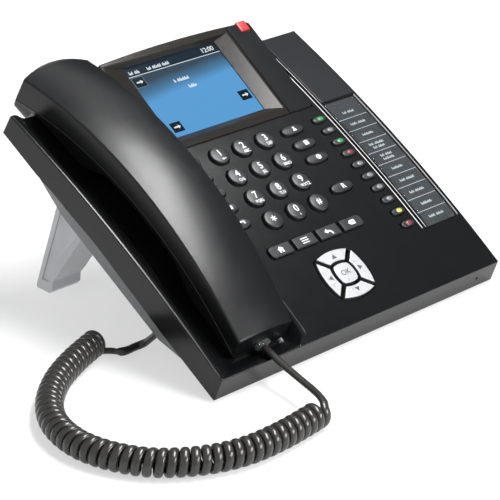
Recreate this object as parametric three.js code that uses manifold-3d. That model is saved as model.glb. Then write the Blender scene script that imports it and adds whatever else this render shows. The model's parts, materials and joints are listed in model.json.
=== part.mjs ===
// Desk IP phone: a slab-shaped keypad body on a fold-out stand, with a handset on a curly cord.
//
// Millimetres, +Z up. The phone is drawn with its left front bottom corner at the origin:
// X runs to the right, Y to the back. The body is a slab that leans back by SLAB_TILT, and its
// parts are drawn in the slab's own axes: x to the right, y up the slope, z out of the keypad.
import * as THREE from 'three';
import { mergeVertices } from 'three/addons/utils/BufferGeometryUtils.js';
import Module from 'manifold-3d';

const wasm = await Module();
wasm.setup();

// Driving dimensions of the body
const SLAB_TILT = THREE.MathUtils.degToRad(30.8);
const SLAB_LIFT = 0.4;            // body edge above the table, carried by the foot strip
const BODY_WIDTH = 216;
const BODY_LENGTH = 197;          // up the slope
const WALL = 2.4;
const GAP = 0.3;                  // clearance between touching pieces
const CROWN_HEIGHT = 18.3;        // highest line of the arched top
const CROWN_AT = 88.5;
const CROWN_RADIUS = 914;
const FRONT_LEAN = 2.2;           // how far the front wall leans back over its height
const TRAY_RIM = 2.8;             // top of the bottom tray inside the skirt
const BELLY_DEPTH = 11.8;
const BELLY = { rampStart: 19, start: 50, end: 141, rampEnd: 181 };
const BELLY_DRAFT = 2.8;         // how far each side of the belly draws in

// Display unit, in its own plane that rises from the keypad
const DISPLAY_RISE = THREE.MathUtils.degToRad(4.1);
const DISPLAY_AT = { y: 138.7, z: 17.3 };
const DISPLAY = { left: 64.3, right: 179.6, length: 67, bulge: 2.2, thickness: 9 };
const WINDOW = { left: 80, right: 150.1, bottom: 9.6, top: 62.2, depth: 3.2 };
const FRAME_INNER = { left: 68, right: 159.4, bottom: 4.9, top: 63.6 };

// Handset, in slab axes
const HANDSET = { near: 14.6, far: 211.6, farBulge: 4.6 };
const HANDSET_SIDES = { left: 19.2, right: 63.7, widenLeft: 2.9, widenRight: 5.5 };
const HANDSET_EDGE = { top: 38.6, at: 112, radius: 279 };
const HANDSET_SEAM = { top: 27.4, at: 105, radius: 265 };
const HANDSET_WALL = 2;

// Curly cord: the coiled stretch and the two straight leads
const COIL_RADIUS = 7.4;
const LEAD_RADIUS = 1.9;

// Keys
const KEY_ROOT = 5;               // how far a key reaches below the surface
const KEY_HOLE = { below: 8, above: 6 };
const DIAL = { x: 95.2, y: 126.2, pitchX: 17.53, pitchY: 16.63, radius: 5.9 };
const SIDE_KEY_ROWS = { y: 126.6, pitch: 11.55 };

const finish = {
  housing: { color: 0x1b1c1e, roughness: 0.38, metalness: 0 },
  tray: { color: 0x2a2c2e, roughness: 0.5, metalness: 0 },
  bezel: { color: 0x35312e, roughness: 0.35, metalness: 0 },
  key: { color: 0x2d2f32, roughness: 0.5, metalness: 0 },
  silver: { color: 0xd9dadb, roughness: 0.35, metalness: 0.3 },
  handset: { color: 0x26282b, roughness: 0.3, metalness: 0.2 },
  stand: { color: 0x9da2a5, roughness: 0.5, metalness: 0 },
  screen: { color: 0x5aa7e0, roughness: 0.15, metalness: 0 },
  lamp: { color: 0xd02a2a, roughness: 0.2, metalness: 0 },
  card: { color: 0x6f7477, roughness: 0.8, metalness: 0 },
  clear: { color: 0xdfe5e8, roughness: 0.08, metalness: 0 },
  cord: { color: 0x151515, roughness: 0.25, metalness: 0 },
  rubber: { color: 0x1a1a1a, roughness: 0.9, metalness: 0 },
  board: { color: 0x1f5b34, roughness: 0.6, metalness: 0 },
  plug: { color: 0xcfd6d8, roughness: 0.15, metalness: 0 },
};

// ---------------------------------------------------------------- solids

function toSolid(geometry) {
  const bare = geometry.clone();
  bare.deleteAttribute('normal');
  bare.deleteAttribute('uv');
  const merged = mergeVertices(bare, 1e-4);
  const mesh = new wasm.Mesh({
    numProp: 3,
    vertProperties: new Float32Array(merged.attributes.position.array),
    triVerts: new Uint32Array(merged.index.array),
  });
  return new wasm.Manifold(mesh);
}

function toGeometry(solid) {
  const mesh = solid.getMesh();
  const geometry = new THREE.BufferGeometry();
  geometry.setAttribute('position', new THREE.BufferAttribute(new Float32Array(mesh.vertProperties), 3));
  geometry.setIndex(new THREE.BufferAttribute(new Uint32Array(mesh.triVerts), 1));
  geometry.computeVertexNormals();
  return geometry;
}

function cut(solid, ...tools) {
  return tools.reduce((rest, tool) => rest.subtract(tool), solid);
}

function join(solid, ...others) {
  return others.reduce((whole, other) => whole.add(other), solid);
}

function extrude(shape, depth, curveSegments = 6) {
  return new THREE.ExtrudeGeometry(shape, { depth, bevelEnabled: false, curveSegments });
}

function outline(points) {
  return new THREE.Shape(points.map(([a, b]) => new THREE.Vector2(a, b)));
}

// A side profile of (y, z) points carried across from x0 to x1
function acrossSolid(points, x0, x1) {
  const geometry = extrude(outline(points), x1 - x0);
  const axes = new THREE.Matrix4().makeBasis(
    new THREE.Vector3(0, 1, 0), new THREE.Vector3(0, 0, 1), new THREE.Vector3(1, 0, 0));
  geometry.applyMatrix4(axes.setPosition(x0, 0, 0));
  return toSolid(geometry);
}

// A plan shape of (x, y) carried up from z0 to z1
function upright(shape, z0, z1, segments = 6) {
  const geometry = extrude(shape, z1 - z0, segments);
  geometry.translate(0, 0, z0);
  return toSolid(geometry);
}

function block(x0, x1, y0, y1, z0, z1) {
  const geometry = new THREE.BoxGeometry(x1 - x0, y1 - y0, z1 - z0);
  geometry.translate((x0 + x1) / 2, (y0 + y1) / 2, (z0 + z1) / 2);
  return toSolid(geometry);
}

// A closed skin through rings of equal length, with flat fans over both ends
function skin(rings) {
  const count = rings[0].length;
  const positions = rings.flat().flatMap((p) => [p.x, p.y, p.z]);
  const index = [];
  for (let ring = 0; ring < rings.length - 1; ring += 1) {
    for (let i = 0; i < count; i += 1) {
      const a = ring * count + i;
      const b = ring * count + ((i + 1) % count);
      index.push(a, b, a + count, b, b + count, a + count);
    }
  }
  [0, rings.length - 1].forEach((ring, end) => {
    const centre = new THREE.Vector3();
    rings[ring].forEach((p) => centre.addScaledVector(p, 1 / count));
    const hub = positions.length / 3;
    positions.push(centre.x, centre.y, centre.z);
    for (let i = 0; i < count; i += 1) {
      const a = ring * count + i;
      const b = ring * count + ((i + 1) % count);
      index.push(...(end === 0 ? [hub, b, a] : [hub, a, b]));
    }
  });
  const geometry = new THREE.BufferGeometry();
  geometry.setAttribute('position', new THREE.Float32BufferAttribute(positions, 3));
  geometry.setIndex(index);
  return toSolid(geometry);
}

// The same skin, turned right side out whichever way the rings were drawn
function loft(rings) {
  const solid = skin(rings);
  return solid.volume() > 0 ? solid : skin([...rings].reverse());
}

const phone = new THREE.Group();
const slab = new THREE.Group();
slab.rotation.x = SLAB_TILT;
slab.position.z = SLAB_LIFT;
phone.add(slab);

const displayPlane = new THREE.Group();
displayPlane.position.set(0, DISPLAY_AT.y, DISPLAY_AT.z);
displayPlane.rotation.x = DISPLAY_RISE;
slab.add(displayPlane);

function piece(name, solid, look, parent = slab) {
  const mesh = new THREE.Mesh(toGeometry(solid), new THREE.MeshStandardMaterial(finish[look]));
  mesh.name = name;
  parent.add(mesh);
  return mesh;
}

// ---------------------------------------------------------------- the arched top surface

function surface(y) {
  const run = y - CROWN_AT;
  return CROWN_HEIGHT - CROWN_RADIUS + Math.sqrt(CROWN_RADIUS ** 2 - run ** 2);
}

function slope(y) {
  return -Math.asin((y - CROWN_AT) / CROWN_RADIUS);
}

// Points of the arched line from y0 to y1, offset outwards by rise
function archLine(y0, y1, rise, steps) {
  const points = [];
  for (let i = 0; i <= steps; i += 1) {
    const y = y0 + ((y1 - y0) * i) / steps;
    points.push([y, surface(y) + rise]);
  }
  return points;
}

// A strip that follows the arch between two offsets
function archStrip(x0, x1, y0, y1, low, high, steps = 8) {
  const top = archLine(y0, y1, high, steps);
  const bottom = archLine(y0, y1, low, steps).reverse();
  return acrossSolid([...bottom, ...top], x0, x1);
}

// A point of the slab as a point of the phone
function onSlab(x, y, z) {
  return new THREE.Vector3(x, y, z).applyEuler(slab.rotation).add(slab.position);
}

function fromDisplayPlane(solid) {
  displayPlane.updateMatrix();
  return solid.transform(displayPlane.matrix.toArray());
}

// The handset is wider at the ear, and its right side curves in towards the mouthpiece
function handsetSides(y) {
  const t = (y - HANDSET.near) / (HANDSET.far - HANDSET.near);
  return {
    left: HANDSET_SIDES.left - HANDSET_SIDES.widenLeft * t,
    right: HANDSET_SIDES.right - HANDSET_SIDES.widenRight * (1 - t) ** 2,
  };
}

// ---------------------------------------------------------------- keys

const keys = [];

function roundShape(radius) {
  return new THREE.Shape().absarc(0, 0, radius, 0, Math.PI * 2);
}

// A long key with full round ends drawn as one flattened oval
function ovalShape(halfLength, halfWidth, steps = 18) {
  const points = [];
  for (let i = 0; i < steps; i += 1) {
    const angle = (i / steps) * Math.PI * 2;
    const c = Math.cos(angle);
    const s = Math.sin(angle);
    const x = Math.sign(c) * Math.abs(c) ** 0.8 * halfLength;
    const y = Math.sign(s) * Math.abs(s) ** 0.8 * halfWidth;
    points.push([x, y]);
  }
  return outline(points);
}

function addKey(name, x, y, shape, hole, look, rise, segments = 5) {
  keys.push({ name, x, y, shape, hole, look, rise, segments });
}

const dialNames = ['1', '2', '3', '4', '5', '6', '7', '8', '9', 'star', '0', 'hash'];
dialNames.forEach((name, i) => {
  const x = DIAL.x + (i % 3) * DIAL.pitchX;
  const y = DIAL.y - Math.floor(i / 3) * DIAL.pitchY;
  addKey(`dial_key_${name}`, x, y, roundShape(DIAL.radius), roundShape(DIAL.radius + GAP), 'key', 2, 4);
});

const LEFT_KEYS = { x: 74.2, half: 6.8 };
const RIGHT_KEYS = { x: 152.2, half: 8 };
const SIDE_KEY_HALF_WIDTH = 3.2;
const EMPTY_ROW = 3;              // the right-hand column leaves one row free
[0, 1, 2, 3, 4].forEach((row) => {
  const y = SIDE_KEY_ROWS.y - row * SIDE_KEY_ROWS.pitch;
  const left = ovalShape(LEFT_KEYS.half, SIDE_KEY_HALF_WIDTH);
  const leftHole = ovalShape(LEFT_KEYS.half + GAP, SIDE_KEY_HALF_WIDTH + GAP);
  addKey(`function_key_left_${row + 1}`, LEFT_KEYS.x, y, left, leftHole, 'key', 1.8);
  if (row !== EMPTY_ROW) {
    const number = row < EMPTY_ROW ? row + 1 : row;
    const right = ovalShape(RIGHT_KEYS.half, SIDE_KEY_HALF_WIDTH);
    const rightHole = ovalShape(RIGHT_KEYS.half + GAP, SIDE_KEY_HALF_WIDTH + GAP);
    addKey(`function_key_right_${number}`, RIGHT_KEYS.x, y, right, rightHole, 'key', 1.8);
  }
});

const LINE_KEYS = { x: 174.9, y: 127.7, pitch: 9.27, half: 4.9, halfWidth: 2.15 };
for (let i = 0; i < 10; i += 1) {
  const shape = ovalShape(LINE_KEYS.half, LINE_KEYS.halfWidth, 14);
  const hole = ovalShape(LINE_KEYS.half + GAP, LINE_KEYS.halfWidth + GAP, 14);
  const name = `line_key_${String(i + 1).padStart(2, '0')}`;
  addKey(name, LINE_KEYS.x, LINE_KEYS.y - i * LINE_KEYS.pitch, shape, hole, 'key', 1.4);
}

// Four menu keys side by side; the outer ends of the row are narrowed
const MENU = { x: 85.4, pitch: 18.25, y: 57.3, half: 8.25, halfWidth: 3.75, taper: 1.6 };
function menuShape(index, grow) {
  const half = MENU.half + grow;
  const high = MENU.halfWidth + grow;
  const left = index === 0 ? MENU.taper : 0;
  const right = index === 3 ? MENU.taper : 0;
  return outline([
    [-half + left * 0.4, -high + left], [-half + left * 1.6, -high], [half - right * 1.6, -high],
    [half - right * 0.4, -high + right], [half, high - right], [half - right, high],
    [-half + left, high], [-half, high - left],
  ].filter(([a, b], i, all) => i === 0 || Math.hypot(a - all[i - 1][0], b - all[i - 1][1]) > 0.01));
}
for (let i = 0; i < 4; i += 1) {
  const x = MENU.x + i * MENU.pitch;
  addKey(`menu_key_${i + 1}`, x, MENU.y, menuShape(i, 0), menuShape(i, GAP), 'key', 1.6);
}

// Arrow keys: four sides of a bulging square around the confirm key
const ARROWS = { x: 112.7, y: 30.4, half: 13.4, bulge: 2.0, inner: 7.5, innerBulge: 0.9, mitre: 1.9 };
const CONFIRM = { half: 5.7, bulge: 0.7, corner: 1.1 };
function bowedSide(half, bulge, length, steps) {
  const points = [];
  for (let i = 0; i <= steps; i += 1) {
    const across = -1 + (2 * i) / steps;
    points.push([across * length, half + bulge * (1 - across * across)]);
  }
  return points;
}
function arrowShape() {
  const outer = bowedSide(ARROWS.half, ARROWS.bulge, ARROWS.half - ARROWS.mitre, 6);
  const inner = bowedSide(ARROWS.inner, ARROWS.innerBulge, ARROWS.inner - ARROWS.mitre, 4);
  return outline([...outer, ...inner.reverse()]);
}
function turned(shape, angle) {
  const c = Math.cos(angle);
  const s = Math.sin(angle);
  return outline(shape.getPoints().map((p) => [p.x * c - p.y * s, p.x * s + p.y * c]));
}
function bowedSquare(half, bulge, corner) {
  const points = [];
  for (let side = 0; side < 4; side += 1) {
    const angle = -side * (Math.PI / 2);
    const c = Math.cos(angle);
    const s = Math.sin(angle);
    bowedSide(half, bulge, half - corner, 4).forEach(([a, b]) => {
      points.push([a * c - b * s, a * s + b * c]);
    });
  }
  return outline(points);
}
['up', 'left', 'down', 'right'].forEach((name, i) => {
  const shape = turned(arrowShape(), i * (Math.PI / 2));
  addKey(`arrow_key_${name}`, ARROWS.x, ARROWS.y, shape, null, 'silver', 1.9);
});
const confirmShape = bowedSquare(CONFIRM.half, CONFIRM.bulge, CONFIRM.corner);
const padHole = bowedSquare(ARROWS.half + GAP, ARROWS.bulge, 1);
addKey('confirm_key', ARROWS.x, ARROWS.y, confirmShape, padHole, 'silver', 2.1);

function seated(solid, key) {
  const seat = new THREE.Object3D();
  seat.position.set(key.x, key.y, surface(key.y));
  seat.rotation.x = slope(key.y);
  seat.updateMatrix();
  return solid.transform(seat.matrix.toArray());
}

const keyHoles = [];
keys.forEach((key) => {
  const body = upright(key.shape, -KEY_ROOT, key.rise, key.segments);
  piece(key.name, seated(body, key), key.look);
  if (key.hole) {
    keyHoles.push(seated(upright(key.hole, -KEY_HOLE.below, KEY_HOLE.above, key.segments), key));
  }
});

// ---------------------------------------------------------------- handset trough

const TROUGH = { left: 2, floorLeft: 15, right: 65.6, insideHandset: 1.4, lip: 0.6, lid: 60 };
// Height of the trough floor up the slope: the front lip, the mouthpiece well, the grip and the ear well
const troughFloor = [[3.4, 15.5], [12.8, 5.6], [58, 5.6], [82, 9.5], [132, 9.5], [156, 5.2], [204, 5.2]];
function troughSolid(grow) {
  const rings = troughFloor.map(([y, floor], i) => {
    const lip = surface(y) - TROUGH.lip;
    const at = i === 0 ? y - grow : y;
    const low = Math.min(floor, lip) - grow;
    const left = TROUGH.left - grow * 0.2;
    const right = TROUGH.right + grow;
    const floorRight = handsetSides(y).right - TROUGH.insideHandset + grow * 0.4;
    return [
      [left, TROUGH.lid], [left, lip - grow], [TROUGH.floorLeft - grow * 0.4, low],
      [floorRight, low], [right, Math.max(lip, low)], [right, TROUGH.lid],
    ].map(([x, z]) => new THREE.Vector3(x, at, z));
  });
  return loft(rings);
}

// ---------------------------------------------------------------- display unit and right-hand panel

function displayOutline(grow) {
  const points = [[DISPLAY.left - grow, -grow], [DISPLAY.right + grow, -grow]];
  const steps = 8;
  for (let i = 0; i <= steps; i += 1) {
    const t = 1 - i / steps;
    const x = DISPLAY.left - grow + t * (DISPLAY.right - DISPLAY.left + 2 * grow);
    const rise = DISPLAY.bulge * (1 - (2 * t - 1) ** 2);
    points.push([x, DISPLAY.length + rise + grow]);
  }
  return outline(points);
}

const PANEL = { left: 187.2, right: 212.8 };
const LABEL = { front: 38.3, back: 137.8, depth: 2.2 };
const COVER = { left: 187.2, right: 214.4, front: 138.8, thickness: 2.2 };
const SLIT = { x: 184.7, halfWidth: 0.6, depth: 1 };
const HOOK = { x: 40, y: 162, halfX: 6, halfY: 3.5, top: 5.4, low: -0.6, flange: 0.8 };
const MIC = { x: 200, z: 7, radius: 1, depth: 6 };

// ---------------------------------------------------------------- housings

const skirt = [[BODY_LENGTH + 0.8, -1.2], [169, -0.9], [141, 0.9], [105, 2.2], [74, 1.2], [45, 0.2], [0, 0]];
const bodySolid = acrossSolid(
  [...archLine(FRONT_LEAN, BODY_LENGTH, 0, 20), ...skirt], 0, BODY_WIDTH);
const hollow = acrossSolid(
  [[FRONT_LEAN + WALL, -20], ...archLine(FRONT_LEAN + WALL, BODY_LENGTH - WALL + 0.4, -WALL, 10),
    [BODY_LENGTH - WALL + 0.4, -20]], WALL, BODY_WIDTH - WALL);
const displaySeat = fromDisplayPlane(upright(displayOutline(GAP), -DISPLAY.thickness - GAP, 20));
const displayPad = fromDisplayPlane(
  block(DISPLAY.left - WALL, DISPLAY.right + WALL, -WALL, 90, -DISPLAY.thickness - WALL, 30));
const panelPad = block(SLIT.x - 2, BODY_WIDTH, 30, BODY_LENGTH, 10, 30)
  .intersect(archStrip(SLIT.x - 2, BODY_WIDTH, 30, BODY_LENGTH, -5, 3));
const labelWell = archStrip(PANEL.left, PANEL.right, LABEL.front, LABEL.back, -LABEL.depth, 3);
const coverWell = archStrip(
  COVER.left - GAP, COVER.right + GAP, COVER.front - GAP, BODY_LENGTH + 3, -COVER.thickness - GAP, 3);
const slit = archStrip(
  SLIT.x - SLIT.halfWidth, SLIT.x + SLIT.halfWidth, LABEL.front, BODY_LENGTH + 3, -SLIT.depth, 3);
const hookHole = block(
  HOOK.x - HOOK.halfX - GAP, HOOK.x + HOOK.halfX + GAP,
  HOOK.y - HOOK.halfY - GAP, HOOK.y + HOOK.halfY + GAP, -2, 20);
const micHole = roundBar({ y: 0, z: 0 }, MIC.radius, -MIC.depth, MIC.depth, 8)
  .rotate([0, 0, 90]).translate([MIC.x, FRONT_LEAN, MIC.z]);

const shell = cut(bodySolid, hollow.subtract(join(troughSolid(2), displayPad, panelPad)));
const topHousing = cut(
  shell, troughSolid(0), displaySeat, labelWell, coverWell, slit, hookHole, micHole, ...keyHoles);
piece('top_housing', topHousing, 'housing');

const trayLeft = WALL + GAP;
const trayRight = BODY_WIDTH - WALL - GAP;
function traySolid(inset, rim) {
  const profile = [
    [FRONT_LEAN + WALL + GAP + inset, rim], [FRONT_LEAN + WALL + GAP + inset, inset],
    [BELLY.rampStart + inset * 0.3, inset], [BELLY.start + inset * 0.3, -BELLY_DEPTH + inset],
    [BELLY.end - inset * 0.3, -BELLY_DEPTH + inset], [BELLY.rampEnd - inset * 0.3, -1 + inset],
    [BODY_LENGTH - WALL - inset, -1 + inset], [BODY_LENGTH - WALL - inset, rim],
  ];
  const side = acrossSolid(profile, trayLeft + inset, trayRight - inset);
  const draft = BELLY_DRAFT;
  const low = -BELLY_DEPTH - 1;
  const drafted = outline([
    [trayLeft + inset, rim + 1], [trayLeft + inset, 0.5], [trayLeft + inset + draft, low],
    [trayRight - inset - draft, low], [trayRight - inset, 0.5], [trayRight - inset, rim + 1],
  ]);
  const axes = new THREE.Matrix4().makeBasis(
    new THREE.Vector3(1, 0, 0), new THREE.Vector3(0, 0, 1), new THREE.Vector3(0, -1, 0));
  const sleeve = extrude(drafted, BODY_LENGTH + 20);
  sleeve.applyMatrix4(axes.setPosition(0, BODY_LENGTH + 10, 0));
  return side.intersect(toSolid(sleeve));
}

// The stand turns on two pins under the belly
const PIN = { y: 135.8, z: -17, radius: 2.2 };
const LEG = { left: 20, width: 20.5 };
const EAR = { thickness: 3, halfWidth: 4.6 };
function roundBar(at, radius, x0, x1, sides = 12) {
  return acrossSolid(Array.from({ length: sides }, (unused, i) => {
    const angle = ((i + 0.5) / sides) * Math.PI * 2;
    return [at.y + Math.cos(angle) * radius, at.z + Math.sin(angle) * radius];
  }), x0, x1);
}
const earSpans = [LEG.left - GAP - EAR.thickness, BODY_WIDTH - LEG.left + GAP];
const ears = earSpans.map((x) => join(
  block(x, x + EAR.thickness, PIN.y - EAR.halfWidth, PIN.y + EAR.halfWidth, PIN.z, -BELLY_DEPTH + 1),
  roundBar(PIN, EAR.halfWidth, x, x + EAR.thickness)));
const pinHoles = earSpans.map((x) => roundBar(PIN, PIN.radius + GAP, x - 1, x + EAR.thickness + 1));

// Modular sockets take the cord's two plugs; the socket in the tray opens downwards
const PLUG = { width: 7.6, height: 5.4, length: 12, out: 2.2 };
const BASE_SOCKET = { x: 13, y: 58 };
const baseSocket = block(
  BASE_SOCKET.x - PLUG.width / 2 - GAP, BASE_SOCKET.x + PLUG.width / 2 + GAP,
  BASE_SOCKET.y - PLUG.height / 2 - GAP, BASE_SOCKET.y + PLUG.height / 2 + GAP,
  -BELLY_DEPTH - 5, -BELLY_DEPTH + PLUG.length - PLUG.out + GAP);
const socketBox = block(
  BASE_SOCKET.x - PLUG.width / 2 - 2, BASE_SOCKET.x + PLUG.width / 2 + 2,
  BASE_SOCKET.y - PLUG.height / 2 - 2, BASE_SOCKET.y + PLUG.height / 2 + 2,
  -BELLY_DEPTH, -BELLY_DEPTH + PLUG.length);
const tray = cut(
  join(traySolid(0, TRAY_RIM), ...ears).subtract(traySolid(2.2, TRAY_RIM + 1)), ...pinHoles);
piece('bottom_housing', cut(join(tray, socketBox), baseSocket), 'tray');

// ---------------------------------------------------------------- inside the body

const BOARD = { left: 68, right: 182, front: 14, back: 134, z: 4.4, thickness: 1.6 };
piece('main_board', block(
  BOARD.left, BOARD.right, BOARD.front, BOARD.back, BOARD.z, BOARD.z + BOARD.thickness), 'board');

const SPEAKER = { x: 30, y: 106, z: -7, radius: 18, height: 8 };
const speakerGeometry = new THREE.CylinderGeometry(SPEAKER.radius, SPEAKER.radius * 0.7, SPEAKER.height, 20);
speakerGeometry.rotateX(Math.PI / 2);
speakerGeometry.translate(SPEAKER.x, SPEAKER.y, SPEAKER.z + SPEAKER.height / 2);
piece('loudspeaker', toSolid(speakerGeometry), 'rubber');

const hookFlange = HOOK.halfX + 2;
const hookPlunger = join(
  block(HOOK.x - HOOK.halfX, HOOK.x + HOOK.halfX, HOOK.y - HOOK.halfY, HOOK.y + HOOK.halfY, HOOK.low, HOOK.top),
  block(HOOK.x - hookFlange, HOOK.x + hookFlange, HOOK.y - HOOK.halfY, HOOK.y + HOOK.halfY,
    HOOK.low, HOOK.low + HOOK.flange));
piece('hook_switch', hookPlunger, 'key');

// ---------------------------------------------------------------- display unit

const frameTop = upright(displayOutline(0), -DISPLAY.thickness, 0);
function rectangle(area, z) {
  return [[area.left, area.bottom], [area.right, area.bottom], [area.right, area.top], [area.left, area.top]]
    .map(([x, y]) => new THREE.Vector3(x, y, z));
}
// The picture frame slopes in to the window; the slope is carried on past both faces
const slopeRate = 1 / WINDOW.depth;
function slopedAt(z) {
  const t = 1 + z * slopeRate;
  const mix = (key) => WINDOW[key] + (FRAME_INNER[key] - WINDOW[key]) * t;
  return rectangle({ left: mix('left'), right: mix('right'), bottom: mix('bottom'), top: mix('top') }, z);
}
const frameSlope = loft([slopedAt(-WINDOW.depth), slopedAt(1)]);
const frameHole = block(WINDOW.left, WINDOW.right, WINDOW.bottom, WINDOW.top, -12, 0);
const LCD = { margin: 3.5, thickness: 3.4 };
const lcdPocket = block(
  WINDOW.left - LCD.margin - GAP, WINDOW.right + LCD.margin + GAP,
  WINDOW.bottom - LCD.margin - GAP, WINDOW.top + LCD.margin + GAP, -12, -WINDOW.depth - 0.6);
const BAND = { x: 161, width: 0.7, depth: 0.5 };
const bandLine = block(BAND.x, BAND.x + BAND.width, -1, DISPLAY.length + 3, -BAND.depth, 1);
const LAMP = { left: 170.2, right: 177.4, front: 61.4, back: 66.4, depth: 3 };
const lampWell = block(
  LAMP.left - GAP, LAMP.right + GAP, LAMP.front - GAP, LAMP.back + 6, -LAMP.depth - GAP, 2);
piece('display_bezel', cut(frameTop, frameSlope, frameHole, lcdPocket, bandLine, lampWell), 'bezel', displayPlane);
piece('lcd_module', block(
  WINDOW.left - LCD.margin, WINDOW.right + LCD.margin, WINDOW.bottom - LCD.margin,
  WINDOW.top + LCD.margin, -WINDOW.depth - 0.9 - LCD.thickness, -WINDOW.depth - 0.9), 'screen', displayPlane);
piece('message_lamp', block(
  LAMP.left, LAMP.right, LAMP.front, LAMP.back + 0.6, -LAMP.depth, 0.2), 'lamp', displayPlane);

// ---------------------------------------------------------------- right-hand panel

piece('expansion_cover', archStrip(
  COVER.left, COVER.right, COVER.front, BODY_LENGTH - 0.2, -COVER.thickness, 0.1), 'housing');
const CARD = { inset: 0.6, low: -1.9, high: -1.5 };
piece('label_card', archStrip(
  PANEL.left + CARD.inset, PANEL.right - CARD.inset, LABEL.front + CARD.inset, LABEL.back - CARD.inset,
  CARD.low, CARD.high), 'card');
const LABEL_WINDOW = { low: -1.2, high: 0.1 };
const NOTCH = { width: 5.2, depth: 1.4, fromEdge: 2.2 };
const notchStarts = [PANEL.left + NOTCH.fromEdge, PANEL.right - NOTCH.fromEdge - NOTCH.width];
const thumbNotches = notchStarts.map((x) => block(
  x, x + NOTCH.width, LABEL.front - 1, LABEL.front + NOTCH.depth, 0, 30));
piece('label_cover', cut(archStrip(
  PANEL.left + GAP, PANEL.right - GAP, LABEL.front + GAP, LABEL.back - GAP,
  LABEL_WINDOW.low, LABEL_WINDOW.high), ...thumbNotches), 'clear');

// ---------------------------------------------------------------- handset

function arcHeight(arc, y) {
  return arc.top - arc.radius + Math.sqrt(arc.radius ** 2 - (y - arc.at) ** 2);
}

// Points of (x from the middle, z) placed at y; the end at the ear bulges out in plan
function handsetRing(y, points) {
  const { left, right } = handsetSides(y);
  const reach = HANDSET.farBulge * THREE.MathUtils.smoothstep(y, HANDSET.far - 50, HANDSET.far);
  return points.map(([x, z]) => {
    const across = (2 * x) / (right - left);
    return new THREE.Vector3((left + right) / 2 + x, y + reach * (1 - across ** 2), z);
  });
}

function halfWidthAt(y) {
  const { left, right } = handsetSides(y);
  return (right - left) / 2;
}

function upperRing(y, inset, skirtDrop) {
  const half = halfWidthAt(y) - inset;
  const edge = arcHeight(HANDSET_EDGE, y) - inset;
  const seam = arcHeight(HANDSET_SEAM, y) - skirtDrop;
  const crown = 2.2;
  const left = [[-half, seam], [-half + 0.5, edge - 1.4], [-half + 1.5, edge - 0.2]];
  const top = [-0.75, -0.45, -0.15, 0.15, 0.45, 0.75].map((t) => [t * half, edge + crown * (1 - t * t)]);
  const right = [[half - 1.5, edge - 0.2], [half - 0.5, edge - 1.4], [half, seam]];
  return handsetRing(y, [...left, ...top, ...right]);
}

// Underside of the handset: a pod at each end with the grip arched between them
const POD = { near: 6.1, far: 5.7, nearEnd: 50, nearRamp: 76, farRamp: 132, farStart: 158, grip: 6.2, deep: 4.4 };
// Behind the body the ear end hangs down a little lower, and rounds up to its far edge
const HANG = { start: 198, full: 199.4, back: 204, low: -1.5, endDrop: 2 };
function hangingAt(y) {
  const { lerp, smoothstep } = THREE.MathUtils;
  const end = arcHeight(HANDSET_SEAM, HANDSET.far) - HANG.endDrop;
  if (y < HANG.full) {
    return lerp(POD.far, HANG.low, (y - HANG.start) / (HANG.full - HANG.start));
  }
  return lerp(HANG.low, end, smoothstep(y, HANG.back, HANDSET.far));
}
function undersideAt(y) {
  if (y > HANG.start) {
    return hangingAt(y);
  }
  const grip = arcHeight(HANDSET_SEAM, y) - POD.grip;
  const toNear = 1 - THREE.MathUtils.smoothstep(y, POD.nearEnd, POD.nearRamp);
  const toFar = THREE.MathUtils.smoothstep(y, POD.farRamp, POD.farStart);
  const low = grip + (POD.near - grip) * toNear + (POD.far - grip) * toFar;
  return Math.min(low, arcHeight(HANDSET_SEAM, y) - POD.deep);
}

// The lower edges are cut off wide along the grip, and stay square where the ear end hangs down
const LOWER_BEVEL = { grip: 6, hang: 2.5, from: 196, to: 202 };
function lowerRing(y, inset, rimRise) {
  const { lerp, smoothstep } = THREE.MathUtils;
  const half = halfWidthAt(y) - inset;
  const seam = arcHeight(HANDSET_SEAM, y) - GAP + rimRise;
  const low = undersideAt(y) + inset;
  const widest = lerp(LOWER_BEVEL.grip, LOWER_BEVEL.hang, smoothstep(y, LOWER_BEVEL.from, LOWER_BEVEL.to));
  const bevel = Math.min(widest, (seam - low) * 1.1);
  return handsetRing(y, [
    [half, seam], [half - 0.5, seam - 1.6 - rimRise], [half - bevel, low], [-half + bevel, low],
    [-half + 0.5, seam - 1.6 - rimRise], [-half, seam],
  ]);
}

function stations(y0, y1, count) {
  return Array.from({ length: count + 1 }, (unused, i) => y0 + ((y1 - y0) * i) / count);
}

function handsetOutside(ring) {
  const at = [...stations(HANDSET.near, HANG.start, 15), HANG.full, HANG.back, 208, HANDSET.far];
  return loft(at.map((y) => ring(y, 0, 0)));
}

// Inside, the shells are hollow up to the part that hangs behind the body
function handsetInside(ring, rise) {
  const at = stations(HANDSET.near + HANDSET_WALL, HANG.start - 1, 15);
  return loft(at.map((y) => ring(y, HANDSET_WALL, rise)));
}

// The near end wall of the upper shell reaches down in a shallow arc, around the socket
const TONGUE_DROP = 3;
function endTongue(grow) {
  const sides = handsetSides(HANDSET.near);
  const middle = (sides.left + sides.right) / 2;
  const half = halfWidthAt(HANDSET.near) - 1.2 + grow;
  const top = arcHeight(HANDSET_SEAM, HANDSET.near) + 1;
  const arc = stations(-1, 1, 8).map((t) => [middle + t * half, top - 1 - grow - TONGUE_DROP * (1 - t * t)]);
  const shape = outline([...arc, [middle + half, top], [middle - half, top]]);
  const axes = new THREE.Matrix4().makeBasis(
    new THREE.Vector3(1, 0, 0), new THREE.Vector3(0, 0, 1), new THREE.Vector3(0, -1, 0));
  const plate = extrude(shape, HANDSET_WALL + grow * 2);
  plate.applyMatrix4(axes.setPosition(0, HANDSET.near + HANDSET_WALL + grow, 0));
  return toSolid(plate);
}

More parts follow.
